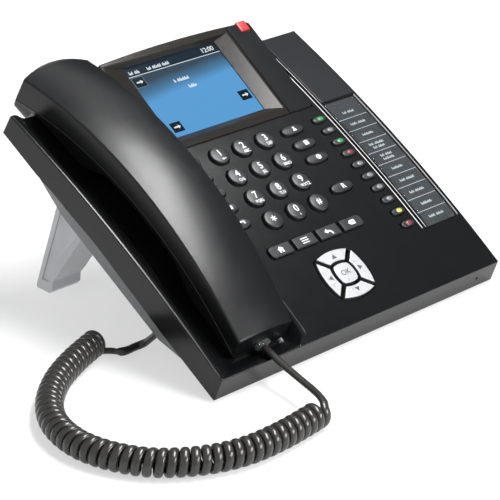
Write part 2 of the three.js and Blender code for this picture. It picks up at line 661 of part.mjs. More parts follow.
const HANDSET_SOCKET = { x: 40.5, z: 10.4 };
const RIM_OVERLAP = 3;            // carries each hollow out through the shell's open side
const handsetSocket = block(
  HANDSET_SOCKET.x - PLUG.width / 2 - GAP, HANDSET_SOCKET.x + PLUG.width / 2 + GAP,
  HANDSET.near - 3, HANDSET.near + 10,
  HANDSET_SOCKET.z - PLUG.height / 2 - GAP, HANDSET_SOCKET.z + PLUG.height / 2 + GAP);
const upperShell = cut(
  join(cut(handsetOutside(upperRing), handsetInside(upperRing, RIM_OVERLAP)), endTongue(0)),
  handsetSocket);
const lowerShell = cut(
  handsetOutside(lowerRing), handsetInside(lowerRing, RIM_OVERLAP), endTongue(GAP), handsetSocket);
piece('handset_upper_shell', upperShell, 'handset');
piece('handset_lower_shell', lowerShell, 'handset');

// ---------------------------------------------------------------- stand and front foot

const FOOT = { front: 162.5, back: 171.4, toe: 157.6, toeTop: 13 };
const KNUCKLE = 4.4;
const pin = onSlab(0, PIN.y, PIN.z);
const bellyCorner = onSlab(0, BELLY.end + 2, -BELLY_DEPTH - 1.8);
const rampCorner = onSlab(0, 161.5, -8);
const FRONT_EDGE = -0.759;        // the leg's front edge: run back per rise
const frontEdgeAt = (z) => FOOT.front + FRONT_EDGE * z;
// Side profile of a leg: sole and toe, back edge, top that follows the belly, knuckle, front edge
const legProfile = [
  [FOOT.toe + 2.6, 0], [FOOT.back, 0], [FOOT.back + 0.5, 1.5], [rampCorner.y, rampCorner.z],
  [bellyCorner.y, bellyCorner.z],
  [pin.y + KNUCKLE * 0.5, pin.z + KNUCKLE * 0.87], [pin.y - KNUCKLE * 0.5, pin.z + KNUCKLE * 0.87],
  [pin.y - KNUCKLE * 0.95, pin.z + KNUCKLE * 0.3], [frontEdgeAt(pin.z - KNUCKLE), pin.z - KNUCKLE],
  [frontEdgeAt(FOOT.toeTop), FOOT.toeTop], [FOOT.toe - 0.6, 8], [FOOT.toe, 2.6],
];
const legSpans = [LEG.left, BODY_WIDTH - LEG.left - LEG.width];
const legs = legSpans.map((x) => acrossSolid(legProfile, x, x + LEG.width));
const plateFoot = { y: pin.y + 19, z: pin.z - 22 };
const crossPlate = acrossSolid([
  [pin.y - 2.6, pin.z + 1.5], [pin.y - 2.6, pin.z - 3.5], [plateFoot.y, plateFoot.z],
  [plateFoot.y + 4.6, plateFoot.z + 3.4], [pin.y + 2.6, pin.z + 1.5],
], LEG.left + 1, BODY_WIDTH - LEG.left - 1);
const standPins = [LEG.left - EAR.thickness, BODY_WIDTH - LEG.left - 1]
  .map((x) => roundBar(pin, PIN.radius, x, x + EAR.thickness + 1));
// The outer faces of the legs are sunk, which leaves a rim along the back edge and round the foot
const SINK = 0.8;
const RIM = { foot: 6.6, front: 2.2, back: 4.6 };
const sunkFace = [
  [FOOT.front - RIM.front, RIM.foot], [FOOT.back - RIM.back, RIM.foot],
  [rampCorner.y - RIM.back, rampCorner.z + 1], [pin.y + 12, pin.z + 30], [pin.y - 30, pin.z + 30],
];
const sunk = [LEG.left - 1, BODY_WIDTH - LEG.left - SINK]
  .map((x) => acrossSolid(sunkFace, x, x + SINK + 1));
piece('stand', join(cut(join(legs[0], legs[1], crossPlate), ...sunk), ...standPins), 'stand', phone);

const STRIP = { left: 12, front: 1.5, back: 9.5 };
const slabUnder = (y) => Math.tan(SLAB_TILT) * y + SLAB_LIFT / Math.cos(SLAB_TILT);
piece('front_foot_strip', acrossSolid([
  [STRIP.front, 0], [STRIP.back, 0], [STRIP.back, slabUnder(STRIP.back) - GAP],
  [STRIP.front, slabUnder(STRIP.front) - GAP],
], STRIP.left, BODY_WIDTH - STRIP.left), 'rubber', phone);

// ---------------------------------------------------------------- cord

const coilAxis = [
  [20, -55.8], [6, -57.7], [-10, -59], [-29, -58.5], [-46, -54], [-62, -45], [-75, -32],
  [-84, -13], [-86.5, 6], [-82, 27], [-71, 45], [-53, 61.5], [-32, 73.5], [-9, 83],
].map(([x, y]) => new THREE.Vector3(x, y, COIL_RADIUS + 0.05));
const coilCurve = new THREE.CatmullRomCurve3(coilAxis, false, 'centripetal');

function ringShape(radius, sides) {
  return outline(Array.from({ length: sides }, (unused, i) => {
    const angle = ((i + 0.5) / sides) * Math.PI * 2;
    return [Math.cos(angle) * radius, Math.sin(angle) * radius];
  }));
}

function tube(curve, radius, sides, steps) {
  const geometry = new THREE.ExtrudeGeometry(ringShape(radius, sides), {
    steps, bevelEnabled: false, extrudePath: curve,
  });
  return toSolid(geometry);
}

piece('cord_coil', tube(coilCurve, COIL_RADIUS, 12, 44), 'cord', phone);

function leadCurve(points) {
  const route = points.map(([x, y, z]) => new THREE.Vector3(x, y, z));
  return new THREE.CatmullRomCurve3(route, false, 'centripetal');
}

const LEAD_START = PLUG.out + 1.3;
const handsetExit = onSlab(HANDSET_SOCKET.x, HANDSET.near - LEAD_START, HANDSET_SOCKET.z);
const handsetLead = leadCurve([
  handsetExit.toArray(), [39.4, 2, 15.5], [38.4, 0, 15.9], [37.4, -2, 16.2], [36.6, -4.4, 16.3],
  [36.2, -6.4, 16], [35.7, -9, 15.6], [35, -14, 14.6], [33.7, -22, 13.6], [31.9, -31, 12.9],
  [29.6, -40, 12.8], [27.2, -47, 13], [25.6, -51, 13.2],
]);
piece('cord_handset_lead', tube(handsetLead, LEAD_RADIUS, 8, 30), 'cord', phone);

const baseExit = onSlab(BASE_SOCKET.x, BASE_SOCKET.y, -BELLY_DEPTH - LEAD_START);
const baseLead = leadCurve([
  baseExit.toArray(), [13, 60.6, 12], [13, 64.6, 8], [12.6, 68.3, 4.6], [10.6, 70.6, 3], [7, 71.4, 2.5],
  [3, 71.2, 2.5], [-0.4, 71.8, 2.5], [-2.6, 73.8, 2.5],
]);
piece('cord_base_lead', tube(baseLead, LEAD_RADIUS, 8, 28), 'cord', phone);

function plugSolid(length) {
  const body = block(-PLUG.width / 2, PLUG.width / 2, 0, length, -PLUG.height / 2, PLUG.height / 2);
  const latch = block(-1.6, 1.6, 0.4, 2.2, PLUG.height / 2 - 0.1, PLUG.height / 2 + 1);
  return join(body, latch);
}
piece('handset_plug', plugSolid(PLUG.length)
  .translate([HANDSET_SOCKET.x, HANDSET.near - PLUG.out, HANDSET_SOCKET.z]), 'plug');
piece('base_plug', plugSolid(PLUG.length).rotate([90, 0, 0])
  .translate([BASE_SOCKET.x, BASE_SOCKET.y, -BELLY_DEPTH - PLUG.out]), 'plug');

// ---------------------------------------------------------------- origin at the middle of the base

phone.updateMatrixWorld(true);
const standing = new THREE.Box3();
phone.traverse((node) => {
  if (node.isMesh && !/^cord_|_plug$/.test(node.name)) {
    standing.expandByObject(node, true);
  }
});
const middle = standing.getCenter(new THREE.Vector3());
phone.position.set(-middle.x, -middle.y, -standing.min.z);
phone.updateMatrixWorld(true);

export default phone;
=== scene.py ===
"""A desk telephone with a handset on a curly cord, a colour display and a fold-out stand.

Lengths are millimetres until a mesh is finished. Most pieces are drawn in the axes of the
tilted body: x to the right, y up the slope, z out of the keypad.
"""
import json
from math import copysign, cos, pi, radians, sin, sqrt, tau

import bmesh
import bpy
from mathutils import Matrix, Vector


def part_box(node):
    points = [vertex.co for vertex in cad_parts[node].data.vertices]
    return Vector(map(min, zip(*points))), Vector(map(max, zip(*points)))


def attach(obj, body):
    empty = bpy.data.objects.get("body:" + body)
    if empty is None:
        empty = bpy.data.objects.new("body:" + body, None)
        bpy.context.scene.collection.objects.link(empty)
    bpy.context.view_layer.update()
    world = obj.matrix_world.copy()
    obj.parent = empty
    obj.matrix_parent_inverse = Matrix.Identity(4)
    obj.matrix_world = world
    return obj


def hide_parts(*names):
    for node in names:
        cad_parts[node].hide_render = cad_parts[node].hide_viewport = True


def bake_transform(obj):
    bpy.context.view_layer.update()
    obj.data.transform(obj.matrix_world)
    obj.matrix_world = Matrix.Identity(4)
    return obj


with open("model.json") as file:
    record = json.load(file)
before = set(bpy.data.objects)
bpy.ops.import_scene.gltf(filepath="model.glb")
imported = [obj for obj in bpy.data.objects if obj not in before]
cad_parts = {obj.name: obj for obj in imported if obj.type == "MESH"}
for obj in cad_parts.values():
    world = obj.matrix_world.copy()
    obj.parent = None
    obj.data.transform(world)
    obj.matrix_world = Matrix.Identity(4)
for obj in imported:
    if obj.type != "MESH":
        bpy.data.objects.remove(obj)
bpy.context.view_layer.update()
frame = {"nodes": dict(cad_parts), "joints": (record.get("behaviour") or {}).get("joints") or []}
scene = bpy.context.scene
joints = {joint["name"]: joint for joint in frame["joints"]}

MM = 0.001
SLAB_TILT = radians(30.8)
PIN = Vector((0, 135.8, -17))
BODY = {"width": 216, "length": 197, "wall": 2.4, "lean": 2.2, "height": 14.3}
CROWN = {"height": 18.3, "at": 88.5, "radius": 914}
DISPLAY_AT = Vector((0, 138.7, 17.3))
DISPLAY_RISE = radians(4.1)

# The body's axes, found from the hinge of the stand and from the side of the housing
tilt = Matrix.Rotation(SLAB_TILT, 4, "X")
corner = Vector(joints["stand_fold"]["pos_m"]) - (tilt @ PIN) * MM
corner.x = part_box("top_housing")[0].x
SLAB = Matrix.Translation(corner) @ tilt @ Matrix.Scale(MM, 4)
TABLE = Matrix.Translation((corner.x, corner.y, 0)) @ Matrix.Scale(MM, 4)
DISPLAY = SLAB @ Matrix.Translation(DISPLAY_AT) @ Matrix.Rotation(DISPLAY_RISE, 4, "X")


def add_object(name, data):
    item = bpy.data.objects.new(name, data)
    scene.collection.objects.link(item)
    return item


# ------ camera

CAMERA = {"lens": 153.92, "place": (-650.4, -716.9, 518.0), "down": 24.10, "turn": -43.31}


def make_camera():
    data = bpy.data.cameras.new("camera")
    data.lens = CAMERA["lens"]
    camera = add_object("camera", data)
    camera.location = TABLE @ Vector(CAMERA["place"])
    camera.rotation_euler = (radians(90 - CAMERA["down"]), 0, radians(CAMERA["turn"]))
    scene.camera = camera


make_camera()


# ------ curves

def hermite(points, steps):
    """A smooth line through the points, steps to each stretch."""
    line = []
    for i in range(len(points) - 1):
        a, b = points[i], points[i + 1]
        before = points[i - 1] if i else a
        after = points[i + 2] if i + 2 < len(points) else b
        gap = (b - a).length
        into = (b - before) * (gap / max((b - a).length + (a - before).length, 1e-9))
        out = (after - a) * (gap / max((after - b).length + (b - a).length, 1e-9))
        for k in range(steps):
            t = k / steps
            line.append(
                a * (2 * t**3 - 3 * t**2 + 1) + into * (t**3 - 2 * t**2 + t)
                + b * (3 * t**2 - 2 * t**3) + out * (t**3 - t**2))
    line.append(points[-1])
    return line


def lengths(line):
    total = [0.0]
    for a, b in zip(line, line[1:]):
        total.append(total[-1] + (b - a).length)
    return total


def ease(value, low, high):
    t = min(1, max(0, (value - low) / (high - low)))
    return t * t * (3 - 2 * t)


def between(low, high, count):
    return [low + (high - low) * i / count for i in range(count + 1)]


# ------ materials

# Pointiness range of the edges that get the painted highlight
EDGE_SHEEN_RANGE = {"From_Min": 0.53, "From_Max": 0.62}


def fill(node, **values):
    """Sets inputs, whose spaces are written as underscores, or else properties of the node."""
    for key, value in values.items():
        socket = key.replace("_", " ")
        if socket in node.inputs:
            node.inputs[socket].default_value = value
        else:
            setattr(node, key, value)
    return node


def node_tools(tree):
    """Calls that make a node, link two sockets, and make noise in the piece's own coordinates."""
    def make(kind, **values):
        return fill(tree.nodes.new("ShaderNode" + kind), **values)

    def noise(**values):
        texture = make("TexNoise", **values)
        tree.links.new(place.outputs["Object"], texture.inputs["Vector"])
        return texture.outputs["Fac"]

    place = make("TexCoord")
    return make, tree.links.new, noise, place


def new_material(name):
    material = bpy.data.materials.new(name)
    material.use_nodes = True
    return material, material.node_tree.nodes["Principled BSDF"]


def plastic(name, color, roughness, grain=0.35, relief=0.03, spread=0.18, edge_sheen=0.05, **shader):
    """Moulded plastic: fine grain, uneven gloss, slight colour drift, and a painted highlight that makes
    sharp edges paler.
    """
    material, principled = new_material(name)
    make, link, noise, _ = node_tools(material.node_tree)

    tone = make("Mix", data_type="RGBA")
    tone.inputs[6].default_value = (*[c * (1 - spread) for c in color], 1)
    tone.inputs[7].default_value = (*[min(1, c * (1 + spread)) for c in color], 1)
    link(noise(Scale=26.0, Detail=4.0), tone.inputs[0])

    # Painted highlight: pointiness mixes sharp convex edges towards a paler colour, as if they caught the
    # light
    edge_sheen_mask = make("MapRange", To_Max=edge_sheen, **EDGE_SHEEN_RANGE)
    link(make("NewGeometry").outputs["Pointiness"], edge_sheen_mask.inputs["Value"])
    edge = make("Mix", data_type="RGBA")
    edge.inputs[7].default_value = (*[min(1, c * 1.6 + 0.05) for c in color], 1)
    link(edge_sheen_mask.outputs["Result"], edge.inputs[0])
    link(tone.outputs[2], edge.inputs[6])
    link(edge.outputs[2], principled.inputs["Base Color"])

    rough = make("MapRange", To_Min=roughness * 0.82, To_Max=min(1, roughness * 1.2))
    link(noise(Scale=85.0, Detail=6.0, Roughness=0.6), rough.inputs["Value"])
    link(rough.outputs["Result"], principled.inputs["Roughness"])

    bump = make("Bump", Strength=0.6, Distance=relief * MM)
    link(noise(Scale=1000 / grain, Detail=2.0), bump.inputs["Height"])
    link(bump.outputs["Normal"], principled.inputs["Normal"])
    fill(principled, **shader)
    return material


def lit(name, color, strength, roughness=0.3):
    """A lamp lens: brighter in the middle than at its rim."""
    material = plastic(name, color, roughness, relief=0.01, edge_sheen=0.0, Emission_Color=(*color, 1))
    make, link, *_ = node_tools(material.node_tree)
    shine = make("MapRange", To_Min=strength, To_Max=strength * 0.15)
    link(make("LayerWeight", Blend=0.35).outputs["Facing"], shine.inputs["Value"])
    principled = material.node_tree.nodes["Principled BSDF"]
    link(shine.outputs["Result"], principled.inputs["Emission Strength"])
    return material


BLACK = (0.0046, 0.0048, 0.0052)
housing = plastic("satin_black", BLACK, 0.19, grain=0.5, relief=0.02, edge_sheen=0.02, Specular_IOR_Level=0.27)
gloss_black = plastic("polished_black", (0.007, 0.0073, 0.008), 0.16, relief=0.004)
tray_grey = plastic("moulded_grey", (0.085, 0.09, 0.095), 0.42, relief=0.04)
bezel_brown = plastic("bezel_lacquer", (0.014, 0.0127, 0.0113), 0.15, relief=0.012, edge_sheen=0.02,
                      Specular_IOR_Level=0.22)
key_grey = plastic("key_grey", (0.0145, 0.015, 0.0163), 0.3, grain=0.55, relief=0.11, spread=0.3,
                   edge_sheen=0.04, Specular_IOR_Level=0.28)
silver = plastic("silver_lacquer", (0.36, 0.365, 0.375), 0.28, grain=0.3, relief=0.03, spread=0.04,
                 Metallic=0.25)
handset_black = plastic("handset_black", (0.0046, 0.0049, 0.0055), 0.3, grain=0.62, relief=0.085,
                        edge_sheen=0.0, Specular_IOR_Level=0.3)
print_white = plastic("print_white", (0.52, 0.53, 0.54), 0.5, relief=0.005, spread=0.05)
print_dark = plastic("print_dark", (0.03, 0.03, 0.032), 0.5, relief=0.005)
stand_grey = plastic("stand_grey", (0.42, 0.435, 0.45), 0.46, grain=0.7, relief=0.05)
card_grey = plastic("card_grey", (0.029, 0.031, 0.033), 0.6, grain=0.2, relief=0.02,
                    Specular_IOR_Level=0.15)
rubber = plastic("rubber", (0.015, 0.015, 0.016), 0.85, grain=0.5, relief=0.05)
cord_black = plastic("cord_jacket", (0.02, 0.019, 0.018), 0.26, grain=1.6, relief=0.03, edge_sheen=0.0)
board_green = plastic("solder_mask", (0.012, 0.1, 0.035), 0.4)
glass = plastic("clear_window", (0.9, 0.93, 0.95), 0.06, relief=0.002, spread=0.02, edge_sheen=0.0,
                Transmission_Weight=1.0, IOR=1.15)
plug_clear = plastic("plug_clear", (0.9, 0.93, 0.94), 0.05, relief=0.004, spread=0.03, edge_sheen=0.0,
                     Transmission_Weight=0.94, IOR=1.42)
hole_black = plastic("hole_black", (0.003, 0.003, 0.003), 0.7)
lamp_red = lit("lamp_red", (0.3, 0.008, 0.01), 0.12)
LENSES = {
    "green": lit("lens_green", (0.012, 0.16, 0.03), 0.6),
    "red": lit("lens_red", (0.13, 0.014, 0.022), 0.4),
    "yellow": lit("lens_yellow", (0.22, 0.24, 0.035), 0.7),
    "off": plastic("lens_off", (0.11, 0.115, 0.122), 0.3, relief=0.01),
}


# ------ mesh helpers

def shade(mesh, angle):
    """Smooth, apart from edges sharper than the angle."""
    mesh.shade_smooth()
    mesh.set_sharp_from_angle(angle=radians(angle))


def new_piece(name, mesh, materials, stands_for=None, body="desk_body", matrix=SLAB, angle=35,
              flat=True):
    """Bakes the place into the mesh, hangs it on a body, and hides the CAD node it stands for."""
    mesh.name = name
    for material in materials:
        mesh.materials.append(material)
    piece = add_object(name, mesh)
    mesh.transform(matrix)
    shade(mesh, angle)
    if flat:
        even = piece.modifiers.new("flat_faces", "WEIGHTED_NORMAL")
        even.keep_sharp = True
        even.weight = 80
    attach(piece, body)
    if stands_for:
        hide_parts(stands_for)
    return piece


def to_mesh(bm):
    bmesh.ops.recalc_face_normals(bm, faces=bm.faces)
    mesh = bpy.data.meshes.new("mesh")
    bm.to_mesh(mesh)
    bm.free()
    return mesh


def add_skin(bm, rings, index=0):
    """A closed skin through rings of equally many points."""
    rows = [[bm.verts.new(point) for point in ring] for ring in rings]
    count = len(rings[0])
    for a, b in zip(rows, rows[1:]):
        for i in range(count):
            j = (i + 1) % count
            bm.faces.new((a[i], a[j], b[j], b[i])).material_index = index
    bm.faces.new(rows[0][::-1]).material_index = index
    bm.faces.new(rows[-1]).material_index = index


def skin(*solids):
    bm = bmesh.new()
    for rings in solids:
        add_skin(bm, rings)
    return to_mesh(bm)


def evaluated_mesh(item):
    graph = bpy.context.evaluated_depsgraph_get()
    return bpy.data.meshes.new_from_object(item.evaluated_get(graph))


def combine(base, tool, operation):
    """base with tool cut away, joined on or kept in common. Both are meshes."""
    objects = [add_object("operand", mesh) for mesh in (base, tool)]
    modifier = objects[0].modifiers.new("combine", "BOOLEAN")
    modifier.operation = operation
    modifier.object = objects[1]
    modifier.solver = "EXACT"
    result = evaluated_mesh(objects[0])
    for item in objects:
        bpy.data.objects.remove(item)
    return result


def cut(base, *tools):
    for tool in tools:
        base = combine(base, tool, "DIFFERENCE")
    return base


def level(outline, z, matrix=None):
    ring = [Vector((x, y, z)) for x, y in outline]
    return [matrix @ point for point in ring] if matrix else ring


def rect(x0, x1, y0, y1, radius=0.0, steps=3):
    """A rectangle's outline with round corners."""
    if not radius:
        return [(x0, y0), (x1, y0), (x1, y1), (x0, y1)]
    points = []
    centres = [(x1 - radius, y0 + radius, -90), (x1 - radius, y1 - radius, 0),
               (x0 + radius, y1 - radius, 90), (x0 + radius, y0 + radius, 180)]
    for cx, cy, start in centres:
        for k in range(steps + 1):
            angle = radians(start + 90 * k / steps)
            points.append((cx + radius * cos(angle), cy + radius * sin(angle)))
    return points


def circle(radius, count=32, cx=0.0, cy=0.0):
    turn = tau / count
    return [(cx + radius * cos(i * turn), cy + radius * sin(i * turn)) for i in range(count)]


def oval(half_x, half_y, count=36, power=0.8):
    """An ellipse, squarer the lower the power."""
    points = []
    for i in range(count):
        angle = tau * i / count
        c, s = cos(angle), sin(angle)
        points.append((copysign(abs(c) ** power, c) * half_x, copysign(abs(s) ** power, s) * half_y))
    return points


def surface(y):
    return CROWN["height"] - CROWN["radius"] + sqrt(CROWN["radius"] ** 2 - (y - CROWN["at"]) ** 2)


def arched(x0, x1, y0, y1, low, high, edge=0.0, steps=24):
    """A plate that follows the arched top between two offsets, its upper edges rounded by edge."""
    rings = []
    ends = [(y0, edge), (y0 + edge * 0.3, edge * 0.3)] if edge else []
    ends += [(y, 0) for y in between(y0 + edge, y1 - edge, steps)]
    ends += [(y1 - edge * 0.3, edge * 0.3), (y1, edge)] if edge else []
    for y, inset in ends:
        top = surface(y) + high - inset
        bottom = surface(y) + low
        r = edge
        if r:
            across = [(x0, bottom), (x0, top - r), (x0 + r * 0.3, top - r * 0.3), (x0 + r, top),
                      (x1 - r, top), (x1 - r * 0.3, top - r * 0.3), (x1, top - r), (x1, bottom)]
        else:
            across = [(x0, bottom), (x0, top), (x1, top), (x1, bottom)]
        rings.append([Vector((x, y, z)) for x, z in across])
    return rings


# ------ cord

COIL = {"radius": 5.8, "pitch": 5.25, "height": 7.45, "start": 50, "end": -115, "steps": 26}
STRIP = {"width": 4.75, "thickness": 3.3, "squareness": 0.9}
COIL_AXIS = [
    (20, -55.8), (6, -57.7), (-10, -59), (-29, -58.5), (-46, -54), (-62, -45), (-75, -32),
    (-84, -13), (-86.5, 6), (-82, 27), (-71, 45), (-53, 61.5), (-32, 73.5), (-9, 83),
]
HANDSET_LEAD = [
    (39.4, 2, 15.5), (38.4, 0, 15.9), (37.4, -2, 16.2), (36.6, -4.4, 16.3),
    (36.2, -6.4, 16), (35.7, -9, 15.6), (35, -14, 14.6), (33.7, -22, 13.6), (31.9, -31, 12.9),
    (29.6, -40, 12.8), (26.9, -48, 13.1), (24.6, -53, 13.3), (22.9, -56.4, 13.15),
]
BASE_LEAD = [
    (-4.3, 76.6, 2.5), (-2.6, 73.8, 2.5), (-0.4, 71.8, 2.5), (3, 71.2, 2.5), (7, 71.4, 2.5),
    (10.6, 70.6, 3), (12.6, 68.3, 4.6), (13, 64.6, 8), (13, 60.6, 12),
]
HANDSET_EXIT = SLAB @ Vector((40.5, 11.1, 10.4))
BASE_EXIT = SLAB @ Vector((13, 58, -15.3))


def coil_line():
    """The middle of the curly stretch, one turn to each pitch, with the axis it winds round."""
    axis = hermite([Vector((x, y, COIL["height"])) for x, y in COIL_AXIS], 24)
    along = lengths(axis)
    part_turn = (COIL["start"] - COIL["end"]) / 360
    turns = round(along[-1] / COIL["pitch"] - part_turn) + part_turn
    count = round(turns * COIL["steps"])
    line, centres, at = [], [], 0
    for k in range(count + 1):
        wanted = along[-1] * k / count
        while at < len(along) - 2 and along[at + 1] < wanted:
            at += 1
        share = (wanted - along[at]) / (along[at + 1] - along[at])
        centre = axis[at].lerp(axis[at + 1], share)
        before, after = axis[max(0, at - 3)], axis[min(len(axis) - 1, at + 4)]
        ahead = (after - before).normalized()
        side = Vector((-ahead.y, ahead.x, 0))
        angle = radians(COIL["start"]) - tau * turns * k / count
        line.append(centre + COIL["radius"] * (cos(angle) * side + sin(angle) * Vector((0, 0, 1))))
        centres.append(centre)
    return line, centres


def cord_route():
    """The cord's middle line in metres, and at each point the direction its flat side faces."""
    coil, centres = coil_line()
    to_table = TABLE.inverted()
    first = hermite([to_table @ HANDSET_EXIT, *map(Vector, HANDSET_LEAD), *coil[:3]], 6)
    first = first[:first.index(coil[0])]
    last = hermite([*coil[-3:], *map(Vector, BASE_LEAD), to_table @ BASE_EXIT], 6)
    last = last[last.index(coil[-1]) + 1:]
    line = first + coil + last
    outward = [(p - c).normalized() for p, c in zip(coil, centres)]
    start, end = outward[0], outward[-1]
    facing = []
    for i in range(len(first)):
        turn = ease(i, len(first) * 0.55, len(first))
        facing.append(Vector((0.25, 0, 1)).lerp(start, turn))
    facing += outward
    for i in range(len(last)):
        turn = ease(i, 0, len(last) * 0.5)
        facing.append(end.lerp(Vector((-0.5, -0.3, 1)), turn))
    return [TABLE @ p for p in line], facing


def make_cord():
    line, facing = cord_route()
    section = oval(STRIP["width"] / 2 * MM, STRIP["thickness"] / 2 * MM, 12, STRIP["squareness"])
    rings = []
    for i, point in enumerate(line):
        ahead = (line[min(i + 1, len(line) - 1)] - line[max(i - 1, 0)]).normalized()
        out = (facing[i] - ahead * facing[i].dot(ahead)).normalized()
        wide = ahead.cross(out)
        rings.append([point + wide * a + out * b for a, b in section])
    bm = bmesh.new()
    add_skin(bm, rings)
    cord = new_piece("handset_cord", to_mesh(bm), [cord_black], matrix=Matrix(), angle=60,
                     flat=False)
    cord.parent = None
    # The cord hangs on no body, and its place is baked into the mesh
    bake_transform(cord)
    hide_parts("cord_coil", "cord_handset_lead", "cord_base_lead")
    return cord, line


cord, cord_line = make_cord()


# ------ keys

def seat_of(node):
    """Where a key sits: a matrix in mm with the key's top face at z 0, and its two half sizes."""
    axis = Vector(joints[node + "_press"]["axis"]).normalized()
    back = axis.cross(Vector((1, 0, 0)))
    points = [v.co for v in frame["nodes"][node].data.vertices]
    xs = [p.x for p in points]
    ys = [p.dot(back) for p in points]
    top = max(p.dot(axis) for p in points)
    middle = Vector((1, 0, 0)) * (min(xs) + max(xs)) / 2 + back * (min(ys) + max(ys)) / 2 + axis * top
    turn = Matrix((Vector((1, 0, 0)), back, axis)).transposed().to_4x4()
    half = ((max(xs) - min(xs)) / 2 / MM, (max(ys) - min(ys)) / 2 / MM)
    return Matrix.Translation(middle) @ turn @ Matrix.Scale(MM, 4), half


def offset(outline, amount):
    """The outline moved inwards by amount, each point along the bisector of its corner."""
    moved = []
    count = len(outline)
    for i, (x, y) in enumerate(outline):
        before, after = Vector(outline[i - 1]), Vector(outline[(i + 1) % count])
        here = Vector((x, y))
        a, b = (here - before).normalized(), (after - here).normalized()
        normal = Vector((-a.y - b.y, a.x + b.x)).normalized()
        stretch = 1 / max(0.5, normal.dot(Vector((-a.y, a.x))))
        moved.append(tuple(here + normal * amount * stretch))
    return moved


def edge_rings(outline, depth, edge):
    """A wall from depth below the top of a key up to its rounded edge."""
    rings = [level(outline, -depth), level(outline, -edge)]
    for k in (30, 60, 90):
        angle = radians(k)
        rings.append(level(offset(outline, edge * (1 - cos(angle))), -edge + edge * sin(angle)))
    return rings


def cap_rings(outline, depth, edge, crown):
    """A key cap with a rounded edge and a slightly crowned top."""
    rings = edge_rings(outline, depth, edge)
    inner = offset(outline, edge)
    for share in (0.75, 0.4, 0.1):
        rings.append(level([(x * share, y * share) for x, y in inner], crown * (1 - share * share)))
    return rings


STROKE = {"pitch": 0.72, "width": 0.46, "heights": (1.0, 0.66, 0.72, 0.6, 0.95)}


def scribble(x, y, words, height):
    """Rows of little upright strokes that stand for words, as outlines."""
    strokes = []
    for n, length in enumerate(words):
        for k in range(round(length / STROKE["pitch"])):
            tall = height * STROKE["heights"][(k * 3 + n) % 5]
            left, low = x + STROKE["pitch"] * k, y - height / 2
            strokes.append(rect(left, left + STROKE["width"], low, low + tall))
        x += length + 1.0
    return strokes


TYPE = {"raised": 0.04, "bolder": 0.011}


def text_faces(bm, text, size, x, y, z, index=1, squeeze=1.0):
    """Adds flat raised characters, centred at x, y."""
    curve = bpy.data.curves.new("text", "FONT")
    curve.body = text
    curve.size = size
    curve.extrude = TYPE["raised"]
    curve.offset = size * TYPE["bolder"]
    curve.align_x = curve.align_y = "CENTER"
    curve.resolution_u = 3
    holder = add_object("text", curve)
    mesh = evaluated_mesh(holder)
    mesh.transform(Matrix.Translation((x, y, z)) @ Matrix.Diagonal((squeeze, 1, 1, 1)))
    add_mesh(bm, mesh, index)
    bpy.data.objects.remove(holder)


def add_mesh(bm, mesh, index):
    start = len(bm.faces)
    welded = bmesh.new()
    welded.from_mesh(mesh)
    bmesh.ops.remove_doubles(welded, verts=welded.verts, dist=1e-4)
    welded.to_mesh(mesh)
    welded.free()
    bm.from_mesh(mesh)
    bm.faces.ensure_lookup_table()
    for face in bm.faces[start:]:
        face.material_index = index


def plate(bm, outline, z, index=1, height=0.06):
    add_skin(bm, [level(outline, z - height), level(outline, z + height)], index)


def bar(x0, y0, x1, y1, width):
    """The outline of a straight stroke from one point to another."""
    along = Vector((x1 - x0, y1 - y0)).normalized() * width / 2
    side = Vector((-along.y, along.x))
    a, b = Vector((x0, y0)), Vector((x1, y1))
    return [tuple(p) for p in (a - along - side, b + along - side, b + along + side, a - along + side)]


LETTERS = dict(zip("234567890", "ABC DEF GHI JKL MNO PQRS TUV WXYZ +".split()))


def dial_legend(bm, name, z):
    if name == "star":
        for k in range(3):
            angle = radians(90 + 60 * k)
            dx, dy = 1.7 * cos(angle), 1.7 * sin(angle)
            plate(bm, bar(-dx, -dy, dx, dy, 0.55), z + 0.01 * k)
        return
    if name == "hash":
        text_faces(bm, "#", 5.8, 0, 0.1, z)
        return
    text_faces(bm, name, 6.5, 0.4, 0.9, z, 1, 0.92)
    if name in LETTERS:
        text_faces(bm, LETTERS[name], 3.1, 0.5, -3.5, z - 0.07, 1, 0.76)
    if name == "1":
        plate(bm, circle(0.7, 12, 0, -3.4), z - 0.05)
        plate(bm, bar(0, -3.4, 1.8, -3.4, 0.5), z - 0.04)


def person(bm, x, z):
    plate(bm, circle(0.75, 14, x, 0.9), z)
    plate(bm, [(x - 1.3, -1.5), (x + 1.3, -1.5), (x + 1.1, -0.4), (x + 0.5, 0), (x - 0.5, 0),
               (x - 1.1, -0.4)], z)


def book(bm, x, z):
    plate(bm, rect(x - 1.5, x + 1.5, -1.6, 1.6, 0.3), z)
    plate(bm, rect(x - 0.8, x + 0.8, 0.3, 0.8), z + 0.05, 0)


def half_moon(bm, x, z):
    plate(bm, circle(1.7, 24, x, 0), z)
    plate(bm, rect(x - 0.9, x - 0.2, -1.0, 1.0, 0.25), z + 0.05, 0)


def receiver(bm, x, z):
    plate(bm, bar(x - 1.6, 0.9, x + 1.6, 0.9, 0.8), z)
    plate(bm, bar(x - 1.8, 0.6, x - 1.8, -0.3, 1.0), z + 0.01)
    plate(bm, bar(x + 1.8, 0.6, x + 1.8, -0.3, 1.0), z + 0.02)


def sound(bm, x, z):
    plate(bm, [(x - 1.8, -0.6), (x - 0.9, -0.6), (x + 0.4, -1.7), (x + 0.4, 1.7), (x - 0.9, 0.6),
               (x - 1.8, 0.6)], z)
    plate(bm, bar(x + 1.3, -0.9, x + 1.3, 0.9, 0.45), z)


def envelope(bm, x, z):
    plate(bm, rect(x - 2.0, x + 2.0, -1.4, 1.4, 0.2), z)
    plate(bm, bar(x - 1.7, 1.1, x, -0.2, 0.35), z + 0.05, 0)
    plate(bm, bar(x + 1.7, 1.1, x, -0.2, 0.35), z + 0.06, 0)


def recall(bm, x, z):
    text_faces(bm, "R", 4.9, x, -0.2, z - 0.02)


